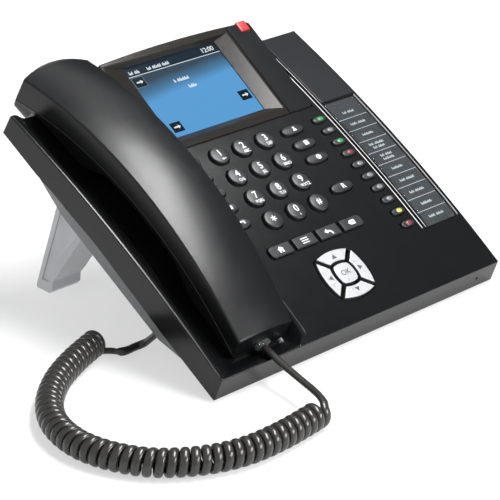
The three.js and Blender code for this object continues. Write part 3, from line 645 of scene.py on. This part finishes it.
def house(bm, z):
    plate(bm, [(-2.3, 0.2), (2.3, 0.2), (0, 2.2)], z)
    plate(bm, rect(-1.5, 1.5, -1.9, 0.25), z + 0.01)
    plate(bm, rect(-0.45, 0.45, -1.9, -0.6), z + 0.05, 0)


def list_lines(bm, z):
    for y in (-1.5, 0, 1.5):
        plate(bm, bar(-2.2, y, 2.2, y, 0.6), z)


def back_arrow(bm, z):
    plate(bm, [(-2.9, 0.2), (-0.8, -1.5), (-0.8, 1.9)], z)
    arc = [(cos(radians(a)), sin(radians(a))) for a in range(100, -21, -20)]
    ring = [(-0.9 + 3.4 * c, -1.8 + 2.6 * s) for c, s in arc]
    ring += [(-0.9 + 2.4 * c, -1.8 + 1.5 * s) for c, s in reversed(arc)]
    plate(bm, ring, z + 0.01)


def delete_tag(bm, z):
    plate(bm, [(-2.6, 0), (-1.1, -1.5), (2.3, -1.5), (2.3, 1.5), (-1.1, 1.5)], z)
    plate(bm, bar(-0.3, -0.6, 1.1, 0.6, 0.32), z + 0.05, 0)
    plate(bm, bar(-0.3, 0.6, 1.1, -0.6, 0.32), z + 0.06, 0)


hole_tools = []


def add_hole(matrix, outline, rise, grow=0.3, chamfer=0.45):
    """A key's hole in the housing, with a small chamfer where it meets the top."""
    to_slab = SLAB.inverted() @ matrix
    wide, wider = offset(outline, -grow), offset(outline, -grow - chamfer)
    hole_tools.append([
        level(wide, -rise - 9, to_slab), level(wide, -rise - chamfer, to_slab),
        level(wider, -rise + 0.02, to_slab), level(wider, 3, to_slab)])


def darken_sides(bm):
    """The lacquer covers only the top of a key, and its sides stay dark."""
    for face in bm.faces:
        if face.calc_center_median().z < -1:
            face.material_index = 1


def make_key(node, outline, rise, depth, edge, crown, legend, materials=(key_grey, print_white), slot="key",
             hole=True):
    """A key of the CAD key's size, with its legend on top, and its hole in the housing."""
    matrix, half = seat_of(node)
    shape = outline(*half) if callable(outline) else outline
    bm = bmesh.new()
    add_skin(bm, cap_rings(shape, depth, edge, crown))
    if slot == "silver":
        darken_sides(bm)
    legend(bm)
    new_piece(node + "_top", to_mesh(bm), materials, node, node + "_cap", matrix, 40)
    if hole:
        add_hole(matrix, shape, rise)


def make_dial_keys():
    for name in "1 2 3 4 5 6 7 8 9 star 0 hash".split():
        make_key(f"dial_key_{name}", lambda a, b: circle(a, 40), 2, 6, 0.9, 0.25,
                 lambda bm: dial_legend(bm, name, 0.24))


def make_function_keys():
    left = [person, book, sound, envelope, receiver]
    right = [person, book, half_moon, recall]
    for side, signs, x in (("left", left, 0.6), ("right", right, 0.9)):
        for i, sign in enumerate(signs):
            make_key(f"function_key_{side}_{i + 1}", oval, 1.8, 6, 0.7, 0.2, lambda bm: sign(bm, x, 0.2))


def make_line_keys():
    for i, light in enumerate("green off green red off off off off yellow red".split()):
        def lens(bm):
            outline = [(x + 0.7, y) for x, y in oval(2.1, 1.4, 24, 0.9)]
            rings = [level(outline, -0.5), level(outline, 0.12), level(offset(outline, 0.3), 0.32)]
            inner = offset(outline, 0.3)
            rings.append(level([((x - 0.7) * 0.4 + 0.7, y * 0.4) for x, y in inner], 0.45))
            add_skin(bm, rings, 1)
        make_key(f"line_key_{i + 1:02d}", lambda a, b: oval(a, b, 32), 1.4, 5, 0.5, 0.12, lens,
                 [key_grey, LENSES[light]])


def menu_outline(half_x, half_y, index):
    half_x, half_y = half_x - 0.4, half_y - 0.2
    left = 1.6 if index == 0 else 0.35
    right = 1.6 if index == 3 else 0.35
    return [(-half_x + left, -half_y), (half_x - right, -half_y), (half_x, -half_y + right),
            (half_x, half_y - right), (half_x - right, half_y), (-half_x + left, half_y),
            (-half_x, half_y - left), (-half_x, -half_y + left)]


def make_menu_keys():
    for i, sign in enumerate((house, list_lines, back_arrow, delete_tag)):
        make_key(f"menu_key_{i + 1}", lambda a, b: menu_outline(a, b, i), 1.6, 6, 0.45, 0.0,
                 lambda bm: sign(bm, 0.06))


ARROWS = {"half": 13.4, "bulge": 2.0, "inner": 7.5, "inner_bulge": 0.9, "mitre": 1.9}
CONFIRM = {"half": 5.7, "bulge": 0.7, "corner": 1.1}


def bowed(half, bulge, reach, steps):
    return [(t * reach, half + bulge * (1 - t * t)) for t in between(-1, 1, steps)]


def bowed_square(half, bulge, corner_cut):
    points = []
    for side in range(4):
        turn = Matrix.Rotation(-side * pi / 2, 2)
        points += [tuple(turn @ Vector(p)) for p in bowed(half, bulge, half - corner_cut, 12)]
    return points[::-1]


def make_pad():
    """Four arrow keys round the confirm key."""
    matrix, _ = seat_of("confirm_key")
    confirm = bowed_square(CONFIRM["half"], CONFIRM["bulge"], CONFIRM["corner"])
    make_key("confirm_key", confirm, 2.1, 6, 0.5, 0.15, lambda bm: text_faces(bm, "OK", 4.6, 0, 0.1, 0.12),
             [silver, print_dark], "silver", hole=False)
    add_hole(matrix, bowed_square(ARROWS["half"], ARROWS["bulge"], 1.0), 2.1)
    outer = bowed(ARROWS["half"], ARROWS["bulge"], ARROWS["half"] - ARROWS["mitre"], 16)
    inner = bowed(ARROWS["inner"], ARROWS["inner_bulge"], ARROWS["inner"] - ARROWS["mitre"], 16)
    wedge = inner + outer[::-1]
    centre = Matrix.Translation((0, 0, -0.2))
    for i, name in enumerate(("up", "left", "down", "right")):
        turn = Matrix.Rotation(i * pi / 2, 4, "Z")
        node = f"arrow_key_{name}"
        bm = bmesh.new()
        add_skin(bm, edge_rings(wedge, 6, 0.6))
        darken_sides(bm)
        plate(bm, [(-1.7, 10.1), (1.7, 10.1), (0, 12.9)], 0.02)
        new_piece(node + "_top", to_mesh(bm), [silver, print_dark], node, node + "_cap",
                  matrix @ centre @ turn, 40)


make_dial_keys()
make_function_keys()
make_line_keys()
make_menu_keys()
make_pad()


# ------ handset shape shared with the trough

HANDSET = {"near": 14.6, "far": 211.6, "bulge": 4.6, "wall": 2.0}


def handset_sides(y):
    t = (y - HANDSET["near"]) / (HANDSET["far"] - HANDSET["near"])
    return 19.2 - 2.9 * t, 63.7 - 5.5 * (1 - t) ** 2


# ------ housings

TROUGH = {"left": 2.0, "floor_left": 15.0, "right": 65.6, "front": 2.4, "back": 206, "step": 0.06}
TROUGH_FLOOR = [(1.0, 14.8), (12.8, 5.6), (58, 5.6), (82, 9.5), (132, 9.5), (156, 5.2), (206, 5.2)]
SKIRT = [(0, 0), (45, 0.2), (74, 1.2), (105, 2.2), (141, 0.9), (169, -0.9), (198, -1.2)]
SPEAKER_ROWS = [(9.6, 0.55), (15.6, 0.7), (21.6, 0.55)]


def along_profile(profile, y):
    for (y0, z0), (y1, z1) in zip(profile, profile[1:]):
        if y <= y1:
            return z0 + (z1 - z0) * ease(y, y0, y1)
    return profile[-1][1]


def body_ring(y, inset):
    lean = BODY["lean"] * max(0, 1 - y / 20)
    top, low = surface(y + lean) - inset, along_profile(SKIRT, y) + inset * 0.5
    left, radius = inset, 0.6
    across = [(left, low), (left + 0.5, top - radius)]
    across += [(left + 0.5 + radius * (1 - cos(a)), top - radius * (1 - sin(a)))
               for a in (0.4, 0.8, 1.2, pi / 2)]
    across += [(BODY["width"] - x, z) for x, z in reversed(across)]
    return [Vector((x, y + lean * z / BODY["height"], z)) for x, z in across]


def body_rings():
    ends = [(0, 0.6), (0.06, 0.36), (0.2, 0.16), (0.6, 0)]
    middle = [(y, 0) for y in between(4, BODY["length"] - 4, 40)]
    back = [(BODY["length"] - y, inset) for y, inset in reversed(ends)]
    return [body_ring(y, inset) for y, inset in ends + middle + back]


def trough_rings(grow=0.0):
    """The room cut out for the handset, wider and deeper by grow; its slopes shrink with its depth."""
    rings = []
    front, step = TROUGH["front"], TROUGH["step"]
    for y in [front - grow, 3.2, 4.2, 5.2, 6.4, 8, 10, 12, 14] + between(18, TROUGH["back"], 44):
        lip = surface(max(y, front))
        low = min(along_profile(TROUGH_FLOOR, max(y, front)), lip - step) - grow
        depth = lip - grow - low
        left = TROUGH["left"] - grow * 0.2
        floor_left = left + min(TROUGH["floor_left"] - left, 1 + 1.7 * depth)
        floor_right = handset_sides(y)[1] - 1.0 + grow * 0.4
        right = floor_right + min(TROUGH["right"] + grow - floor_right, 0.6 + 1.3 * depth)
        across = [(left - 0.3, 60), (left - 0.3, lip + 0.3)]
        for t in between(0, 1, 8):
            across.append((left + (floor_left - left) * t,
                           lip - grow - step + (low - lip + grow + step) * ease(t, 0, 1)))
        for t in between(0, 1, 8):
            across.append((floor_right + (right - floor_right) * t,
                           low + (lip - step - grow - low) * ease(t, 0, 1)))
        across += [(right + 0.7, lip + 0.3), (right + 0.7, 60)]
        rings.append([Vector((x, y, z)) for x, z in across])
    return rings


DISPLAY_UNIT = {"left": 64.3, "right": 179.6, "length": 67, "bulge": 2.2, "corner": 1.0}


def display_outline(grow):
    left, right = DISPLAY_UNIT["left"] - grow, DISPLAY_UNIT["right"] + grow
    length, bulge, radius = DISPLAY_UNIT["length"] + grow, DISPLAY_UNIT["bulge"], DISPLAY_UNIT["corner"]
    points = [(left + radius, -grow), (right - radius, -grow), (right, radius - grow)]
    points += [(right, length - radius)]
    for t in between(0.99, 0.01, 24):
        points.append((left + (right - left) * t, length + bulge * (1 - (2 * t - 1) ** 2)))
    points += [(left, length - radius), (left, radius - grow)]
    return points


def make_top_housing():
    solid = skin(body_rings())
    wall = BODY["wall"]
    left, right = wall, BODY["width"] - wall
    inside_rings = []
    for y in between(wall + BODY["lean"], BODY["length"] - wall, 20):
        roof = surface(y) - wall
        across = ((left, -20), (right, -20), (right, roof), (left, roof))
        inside_rings.append([Vector((x, y, z)) for x, z in across])
    inside = skin(inside_rings)
    to_slab = SLAB.inverted() @ DISPLAY
    seat_pad = skin([level(rect(62, 182, -2.4, 90), z, to_slab) for z in (-11.5, 30)])
    panel_pad = skin(arched(182.7, 216, 30, 197, -5, 3))
    inside = cut(inside, skin(trough_rings(2.0)), seat_pad, panel_pad)
    solid = cut(solid, inside, skin(trough_rings()))
    seat = [level(display_outline(0.3), z, to_slab) for z in (-9.3, -0.9)]
    seat += [level(display_outline(0.8), z, to_slab) for z in (0.6, 30)]
    wells = [
        seat,
        arched(187.2, 212.8, 38.3, 137.8, -2.2, 3),
        arched(186.9, 214.7, 138.5, 205, -2.5, 3),
        arched(183.1, 185.3, 38.3, 205, -1.0, 3),
        [level(rect(33.7, 46.3, 158.2, 165.8, 0.8), z) for z in (-2, 20)],
    ]
    mic = [[Vector((200 + x, y, 7 + z)) for x, z in circle(1.0, 16)] for y in (7, -2)]
    solid = cut(solid, skin(*wells), skin(*hole_tools), skin(mic, *speaker_holes()))
    new_piece("body_upper_shell", solid, [housing], "top_housing", angle=28)


def speaker_holes():
    """Three rows of small holes along the left slope of the trough, over the loudspeaker."""
    holes = []
    for x, radius in SPEAKER_ROWS:
        for i in range(12):
            y = 70 + 5.15 * i
            holes.append([level(circle(radius, 12, x, y), z) for z in (4.6, 18)])
    return holes


EDGE_ANGLE = 30


def soften(node, width, material, slot):
    """Keeps a CAD piece's shape and breaks its edges."""
    piece = frame["nodes"][node]
    piece.data.materials.clear()
    piece.data.materials.append(material)
    piece.modifiers.new("weld", "WELD").merge_threshold = 0.01 * MM
    bevel = piece.modifiers.new("bevel", "BEVEL")
    bevel.width = width * MM
    bevel.segments = 2
    bevel.limit_method = "ANGLE"
    bevel.angle_limit = radians(EDGE_ANGLE)
    shade(piece.data, EDGE_ANGLE)


make_top_housing()
for softened in [
    ("bottom_housing", 0.5, tray_grey, "tray"), ("main_board", 0.15, board_green, "board"),
    ("loudspeaker", 0.3, rubber, "rubber"), ("hook_switch", 0.35, key_grey, "key"),
    ("stand", 0.7, stand_grey, "stand"), ("front_foot_strip", 0.4, rubber, "rubber"),
    ("handset_plug", 0.25, plug_clear, "plug"), ("base_plug", 0.25, plug_clear, "plug"),
]:
    soften(*softened)


# ------ display

WINDOW = {"x": (80, 150.1), "y": (9.6, 62.2), "depth": 3.2}
FRAME_OPENING = {"x": (68, 159.4), "y": (4.9, 63.6)}
SKY = [(0.5, (0.082, 0.325, 0.65)), (0.6, (0.045, 0.165, 0.31)), (0.71, (0.018, 0.042, 0.066))]


def screen_material():
    """The lit panel: a dark band at the top that clears to sky blue along a bowed edge."""
    material, principled = new_material("screen_glow")
    make, link, noise, place = node_tools(material.node_tree)
    split = make("SeparateXYZ")
    link(place.outputs["Generated"], split.inputs["Vector"])
    lean = make("Math", operation="MULTIPLY_ADD")
    lean.inputs[1].default_value = -0.1
    link(split.outputs["X"], lean.inputs[0])
    link(split.outputs["Y"], lean.inputs[2])
    mixed = make("Math", operation="MULTIPLY_ADD")
    mixed.inputs[1].default_value = 0.05
    link(noise(Scale=40.0, Detail=2.0), mixed.inputs[0])
    link(lean.outputs["Value"], mixed.inputs[2])
    ramp = make("ValToRGB")
    ramp.color_ramp.elements.new(0.6)
    for element, (position, color) in zip(ramp.color_ramp.elements, SKY):
        element.position = position
        element.color = (*color, 1)
    link(mixed.outputs["Value"], ramp.inputs["Fac"])
    link(ramp.outputs["Color"], principled.inputs["Emission Color"])
    fill(principled, Emission_Strength=0.96, Specular_IOR_Level=0.2, Base_Color=(0.01, 0.012, 0.016, 1))
    rough = make("MapRange", To_Min=0.05, To_Max=0.12)
    link(noise(Scale=60.0, Detail=5.0), rough.inputs["Value"])
    link(rough.outputs["Result"], principled.inputs["Roughness"])
    return material


def glow(name, color):
    """A lit part of the picture, almost black by itself."""
    return plastic(name, [c * 0.08 for c in color], 0.12, relief=0.005, edge_sheen=0.0,
                   Specular_IOR_Level=0.12, Emission_Color=(*color, 1), Emission_Strength=0.85)


def make_display():
    outer = [level(display_outline(0), -9), level(display_outline(0), -0.8)]
    outer += [level(display_outline(-0.25), -0.22), level(display_outline(-0.8), 0)]
    (wx0, wx1), (wy0, wy1) = WINDOW["x"], WINDOW["y"]
    (fx0, fx1), (fy0, fy1) = FRAME_OPENING["x"], FRAME_OPENING["y"]
    share = 1 / WINDOW["depth"]
    slope_rings = [
        level(rect(wx0, wx1, wy0, wy1), -WINDOW["depth"]),
        level(rect(fx0, fx1, fy0, fy1), 0),
        level(rect(fx0 + (fx0 - wx0) * share, fx1 + (fx1 - wx1) * share,
                        fy0 + (fy0 - wy0) * share, fy1 + (fy1 - wy1) * share), 1),
    ]
    window = [level(rect(wx0, wx1, wy0, wy1), z) for z in (-12, -WINDOW["depth"] + 0.01)]
    pocket = [level(rect(wx0 - 3.8, wx1 + 3.8, wy0 - 3.8, wy1 + 3.8), z) for z in (-12, -3.8)]
    groove = [level(rect(161, 161.7, -1, 72), z) for z in (-0.5, 1)]
    lamp_well = [level(rect(169.9, 177.7, 61.1, 80), z) for z in (-3.3, 2)]
    mesh = cut(skin(outer), skin(slope_rings), skin(window), skin(pocket), skin(groove, lamp_well))
    for face in mesh.polygons:
        face.material_index = 1 if face.center.x > 161.3 and face.center.z > -1 else 0
    new_piece("display_frame", mesh, [bezel_brown, gloss_black], "display_bezel",
              matrix=DISPLAY, angle=15)

    lens = [level(rect(170.2 + i, 177.4 - i, 61.4 + i, 68.6 - i, 0.6), z)
            for i, z in ((0, -3), (0, -0.2), (0.3, 0.15), (1.1, 0.3))]
    new_piece("message_lens", skin(lens), [lamp_red], "message_lamp", matrix=DISPLAY)


def make_screen():
    (x0, x1), (y0, y1) = WINDOW["x"], WINDOW["y"]
    mesh = skin([level(rect(x0 - g, x1 + g, y0 - g, y1 + g), z)
                 for g, z in ((3.5, -7.5), (3.5, -4.3), (3.3, -4.1))])
    for face in mesh.polygons:
        face.material_index = 0 if face.normal.z > 0.9 else 1
    new_piece("screen_module", mesh, [screen_material(), hole_black], "lcd_module",
              matrix=DISPLAY)

    white, dark = glow("screen_white", (0.8, 0.86, 0.92)), glow("screen_dark", (0.01, 0.016, 0.024))
    navy = glow("screen_navy", (0.014, 0.026, 0.042))
    faint = glow("screen_faint", (0.16, 0.25, 0.32))
    bm = bmesh.new()
    z = -4.03
    plate(bm, rect(x0, x1, y1 - 6.4, y1), z, 1, 0.03)
    plate(bm, rect(x0 + 0.5, x1, y1 - 6.85, y1 - 6.5), z + 0.02, 0, 0.03)
    words = [(x0 + 2.6, 4.1, [3.0, 3.6]), (x0 + 16, 4.1, [2.9, 6.5, 5.1]),
             (x0 + 27, 17.0, [1.5, 8.8]), (x0 + 34, 23.0, [6.0])]
    text_faces(bm, "12:00", 4.6, x1 - 7.5, y1 - 3.4, z + 0.06, 0, 0.95)
    for start, drop, run in words:
        for outline in scribble(start, y1 - drop, run, 2.3):
            plate(bm, outline, z + 0.05, 0, 0.03)
    for n, (x, y) in enumerate(((x0 + 5.4, y1 - 11.2), (x0 + 8.2, y0 + 6.8), (x1 - 5.0, y0 + 13.2))):
        if n == 0:
            plate(bm, rect(x - 4.1, x + 4.1, y - 3.7, y + 3.7), z + 0.03, 3, 0.03)
        plate(bm, rect(x - 3.8, x + 3.8, y - 3.4, y + 3.4), z + 0.06, 2, 0.03)
        plate(bm, bar(x - 1.6, y, x + 1.2, y, 0.9), z + 0.1, 0, 0.03)
        plate(bm, [(x + 0.9, y - 1.4), (x + 2.6, y), (x + 0.9, y + 1.4)], z + 0.1, 0, 0.03)
    new_piece("screen_symbols", to_mesh(bm), [white, navy, dark, faint], matrix=DISPLAY)


make_display()
make_screen()


# ------ right-hand panel

LABEL = {"pitch": 9.27, "first": 127.7, "middle": 200, "print": (-1.48, -1.4)}


def print_on_card(bm, outline):
    add_skin(bm, [[Vector((x, y, surface(y) + rise)) for x, y in outline] for rise in LABEL["print"]])


def make_panel():
    cover = skin(arched(187.2, 214.4, 138.8, 196.6, -2.2, 0.1, 0.45))
    new_piece("expansion_lid", cover, [plastic(
        "lid_grey", (0.0165, 0.0176, 0.019), 0.16, grain=0.5, relief=0.02, Specular_IOR_Level=0.2)],
        "expansion_cover")

    card = skin(arched(187.8, 212.2, 38.9, 137.2, -1.9, -1.5))
    new_piece("label_sheet", card, [card_grey], "label_card")

    bm = bmesh.new()
    for i in range(9):
        y = LABEL["first"] - LABEL["pitch"] * (i + 0.5)
        print_on_card(bm, rect(188.6, 211.4, y - 0.16, y + 0.16))
    for i in range(10):
        y = LABEL["first"] - LABEL["pitch"] * i
        rows = (1.3, -1.5) if i in (3, 4) else (0,)
        for row, drop in enumerate(rows):
            words = [2.9 + (i * 7 + row * 3) % 4 * 0.72, 5.0 + (i * 5 + row) % 4 * 0.72]
            if (i + row) % 3 == 2:
                words = [8.6]
            start = LABEL["middle"] - (sum(words) + len(words) - 1) / 2
            for outline in scribble(start, y + drop, words, 1.7):
                print_on_card(bm, outline)
    new_piece("label_print", to_mesh(bm), [print_white])

    window = skin(arched(187.5, 212.5, 38.6, 137.5, -1.2, 0.1, 0.3))
    notches = [[level(rect(x, x + 5.2, 37, 39.9, 0.6), z) for z in (10, 20)] for x in (189.4, 205.4)]
    new_piece("label_window_pane", cut(window, skin(*notches)), [glass],
              "label_cover", "label_window")

    # Painted highlights: pale strips on both edges of the groove and along the label window's right edge
    # stand in for light caught by chamfered edges
    highlight_strips = [arched(x, x + wide, 38.6, back, -1.0, 0.14)
             for x, wide, back in ((182.5, 0.5, 196), (185.35, 0.32, 196), (212.62, 0.25, 137.4))]
    new_piece("painted_highlight_lines", skin(*highlight_strips),
              [plastic("edge_highlight_grey", (0.42, 0.43, 0.44), 0.3, relief=0.01)])


make_panel()


# ------ handset

EDGE_ARC = (38.6, 112, 279)
SEAM_ARC = (27.4, 105, 265)
POD = {"near": 6.1, "far": 5.7, "near_end": 50, "near_ramp": 76, "far_ramp": 132, "far_start": 158,
       "grip": 6.2, "deep": 4.4}
HANG = {"start": 198, "full": 199.4, "back": 209.6, "low": -1.5, "end_drop": 6.5}
LOWER_BEVEL = {"grip": 6.5, "hang": 2.5, "from": 196, "to": 202}


def arc_height(arc, y):
    top, at, radius = arc
    return top - radius + sqrt(radius**2 - (y - at) ** 2)


def underside(y):
    seam = arc_height(SEAM_ARC, y)
    if y > HANG["start"]:
        if y < HANG["full"]:
            share = (y - HANG["start"]) / (HANG["full"] - HANG["start"])
            return POD["far"] + (HANG["low"] - POD["far"]) * share
        end = arc_height(SEAM_ARC, HANDSET["far"]) - HANG["end_drop"]
        return HANG["low"] + (end - HANG["low"]) * ease(y, HANG["back"], HANDSET["far"])
    grip = seam - POD["grip"]
    near = 1 - ease(y, POD["near_end"], POD["near_ramp"])
    far = ease(y, POD["far_ramp"], POD["far_start"])
    low = grip + (POD["near"] - grip) * near + (POD["far"] - grip) * far
    return min(low, seam - POD["deep"])


def place_ring(y, points, shrink=0.0, push=0.0):
    """Points of (x from the middle, z) at y; the ear end bulges out in plan."""
    left, right = handset_sides(y)
    reach = HANDSET["bulge"] * ease(y, HANDSET["far"] - 50, HANDSET["far"])
    ring = []
    for x, z in points:
        across = 2 * x / (right - left)
        scale = 1 - shrink * 2 / (right - left)
        ring.append(Vector(((left + right) / 2 + x * scale, y + push + reach * (1 - across**2), z)))
    return ring


def upper_section(y, inset=0.0, drop=0.0):
    left, right = handset_sides(y)
    half = (right - left) / 2 - inset
    edge = arc_height(EDGE_ARC, y) - inset
    seam = arc_height(SEAM_ARC, y) - drop
    radius = 1.1
    side = [(half, seam), (half - 0.22, seam + (edge - seam) * 0.5), (half - 0.5, edge - radius)]
    for k in (25, 50, 75):
        a = radians(k)
        side.append((half - 0.5 - radius * (1 - cos(a)), edge - radius * (1 - sin(a))))
    rim = half - 0.5 - radius
    top = [(t * rim, edge + 2.2 * (1 - t * t)) for t in between(1, -1, 16)]
    mirrored = [(-x, z) for x, z in reversed(side)]
    return side + top + mirrored


def lower_section(y, inset=0.0, rise=0.0):
    left, right = handset_sides(y)
    half = (right - left) / 2 - inset
    seam = arc_height(SEAM_ARC, y) - 0.3 + rise
    low = underside(y) + inset
    deep = seam - rise - low
    square = ease(y, LOWER_BEVEL["from"], LOWER_BEVEL["to"])
    widest = LOWER_BEVEL["grip"] + (LOWER_BEVEL["hang"] - LOWER_BEVEL["grip"]) * square
    bevel = min(widest, deep * 1.05)
    band = min(1.8, deep * 0.4)
    side = [(half - 0.25, seam), (half, seam - rise - 0.3), (half - 0.35, seam - rise - band)]
    for t in between(0.2, 1, 6):
        a = t * pi / 2
        side.append((half - 0.35 - (bevel - 0.35) * (1 - cos(a)),
                     seam - rise - band - (deep - band) * sin(a)))
    return side + [(-x, z) for x, z in reversed(side)]


def handset_rings(section, **options):
    """Rings from the mouthpiece to the ear, drawn in at both ends for a rounded end."""
    stations = between(HANDSET["near"] + 1.2, HANG["start"], 56) + [
        HANG["full"], 201, 204, 207, HANG["back"], 210, 210.4]
    rings = [place_ring(y, section(y, **options)) for y in stations]

    def pulled(y, push, amount):
        points = section(y, **options)
        middle = sum(z for x, z in points) / len(points)
        shrunk = [(x, z + (middle - z) * amount / 12) for x, z in points]
        return place_ring(y, shrunk, amount, push)
    start = [pulled(stations[0], *pull) for pull in ((-1.2, 1.2), (-0.85, 0.5), (-0.4, 0.15))]
    end = [pulled(stations[-1], *pull) for pull in ((0.6, 0.1), (1.0, 0.3), (1.2, 0.7))]
    return start + rings + end


def inner_rings(section, **options):
    at = between(HANDSET["near"] + 3.2, HANG["start"] - 2, 30)
    return [place_ring(y, section(y, inset=HANDSET["wall"], **options)) for y in at]


def end_tongue(grow):
    """The end wall of the upper shell hangs down in a shallow arc round the socket."""
    left, right = handset_sides(HANDSET["near"])
    middle, half = (left + right) / 2, (right - left) / 2 - 1.2 + grow
    top = arc_height(SEAM_ARC, HANDSET["near"]) + 1
    outline = [(middle + half, top), (middle - half, top)]
    outline += [(middle + t * half, top - 1 - grow - 3 * (1 - t * t)) for t in between(-1, 1, 16)]
    rows = (HANDSET["near"] - grow, HANDSET["near"] + 2 + grow)
    return skin([[Vector((x, y, z)) for x, z in outline] for y in rows])


def socket_tool():
    outline = rect(36.4, 44.6, 7.4, 13.4, 0.3)
    return skin([[Vector((x, y, z)) for x, z in outline] for y in (11, 24.6)])


EARPIECE = (40, 182)


def sound_holes():
    """Holes in the underside over the microphone and the earpiece."""
    spots = [(0.9, 39 + 3.4 * i, 31) for i in (-1, 0, 1)] + [(1.0, *EARPIECE)]
    for ring, count in ((4.2, 6), (8.2, 12)):
        for i in range(count):
            a = tau * i / count
            spots.append((1.0, EARPIECE[0] + ring * cos(a), EARPIECE[1] + ring * sin(a)))
    return skin(*[[level(circle(radius, 14, x, y), z) for z in (3, 9)] for radius, x, y in spots])


def make_handset():
    tongue = end_tongue(0)
    upper = cut(skin(handset_rings(upper_section)), skin(inner_rings(upper_section, drop=3)))
    upper = cut(combine(upper, tongue, "UNION"), socket_tool())
    new_piece("handset_top_shell", upper, [handset_black],
              "handset_upper_shell", "handset", angle=32)
    lower = cut(skin(handset_rings(lower_section)), skin(inner_rings(lower_section, rise=3)),
                end_tongue(0.3), socket_tool(), sound_holes())
    new_piece("handset_under_shell", lower, [handset_black],
              "handset_lower_shell", "handset", angle=32)


make_handset()


# ------ floor, light

def make_floor():
    bm = bmesh.new()
    bmesh.ops.create_grid(bm, x_segments=8, y_segments=8, size=4)
    floor = add_object("floor", to_mesh(bm))
    floor.data.materials.append(plastic(
        "floor_white", (0.36, 0.36, 0.36), 0.6, spread=0.01, edge_sheen=0, relief=0.01,
        Emission_Color=(1, 1, 1, 1), Emission_Strength=0.55))


def make_world():
    """A studio that is bright on the left and dark on the right."""
    world = bpy.data.worlds.new("world")
    scene.world = world
    world.use_nodes = True
    make, link, _, place = node_tools(world.node_tree)
    split = make("SeparateXYZ")
    link(place.outputs["Generated"], split.inputs["Vector"])
    side = make("MapRange", From_Min=-0.9, From_Max=0.35)
    link(split.outputs["X"], side.inputs["Value"])
    ramp = make("ValToRGB")
    ramp.color_ramp.elements[0].color = (1, 1, 1, 1)
    ramp.color_ramp.elements[1].color = (0.075, 0.077, 0.082, 1)
    link(side.outputs["Result"], ramp.inputs["Fac"])
    background = world.node_tree.nodes["Background"]
    link(ramp.outputs["Color"], background.inputs["Color"])
    background.inputs["Strength"].default_value = 0.9


def area_light(name, azimuth, elevation, distance, size, power):
    """A soft box aimed at the phone. Azimuth 0 is behind it and 90 to its right."""
    data = bpy.data.lights.new(name, "AREA")
    data.shape = "RECTANGLE"
    data.size, data.size_y = size
    data.energy = power
    light = add_object(name, data)
    a, e = radians(azimuth), radians(elevation)
    back = Vector((sin(a) * cos(e), cos(a) * cos(e), sin(e)))
    light.location = back * distance
    light.rotation_euler = (-back).to_track_quat("-Z", "Y").to_euler()


make_floor()
make_world()
area_light("overhead_box", 124, 70, 1.6, (1.2, 0.42), 48)
area_light("back_box", 40, 48, 1.8, (1.0, 0.6), 2.2)
area_light("front_box", 165, 24, 1.1, (0.7, 0.3), 12)
scene.view_settings.view_transform = "Standard"
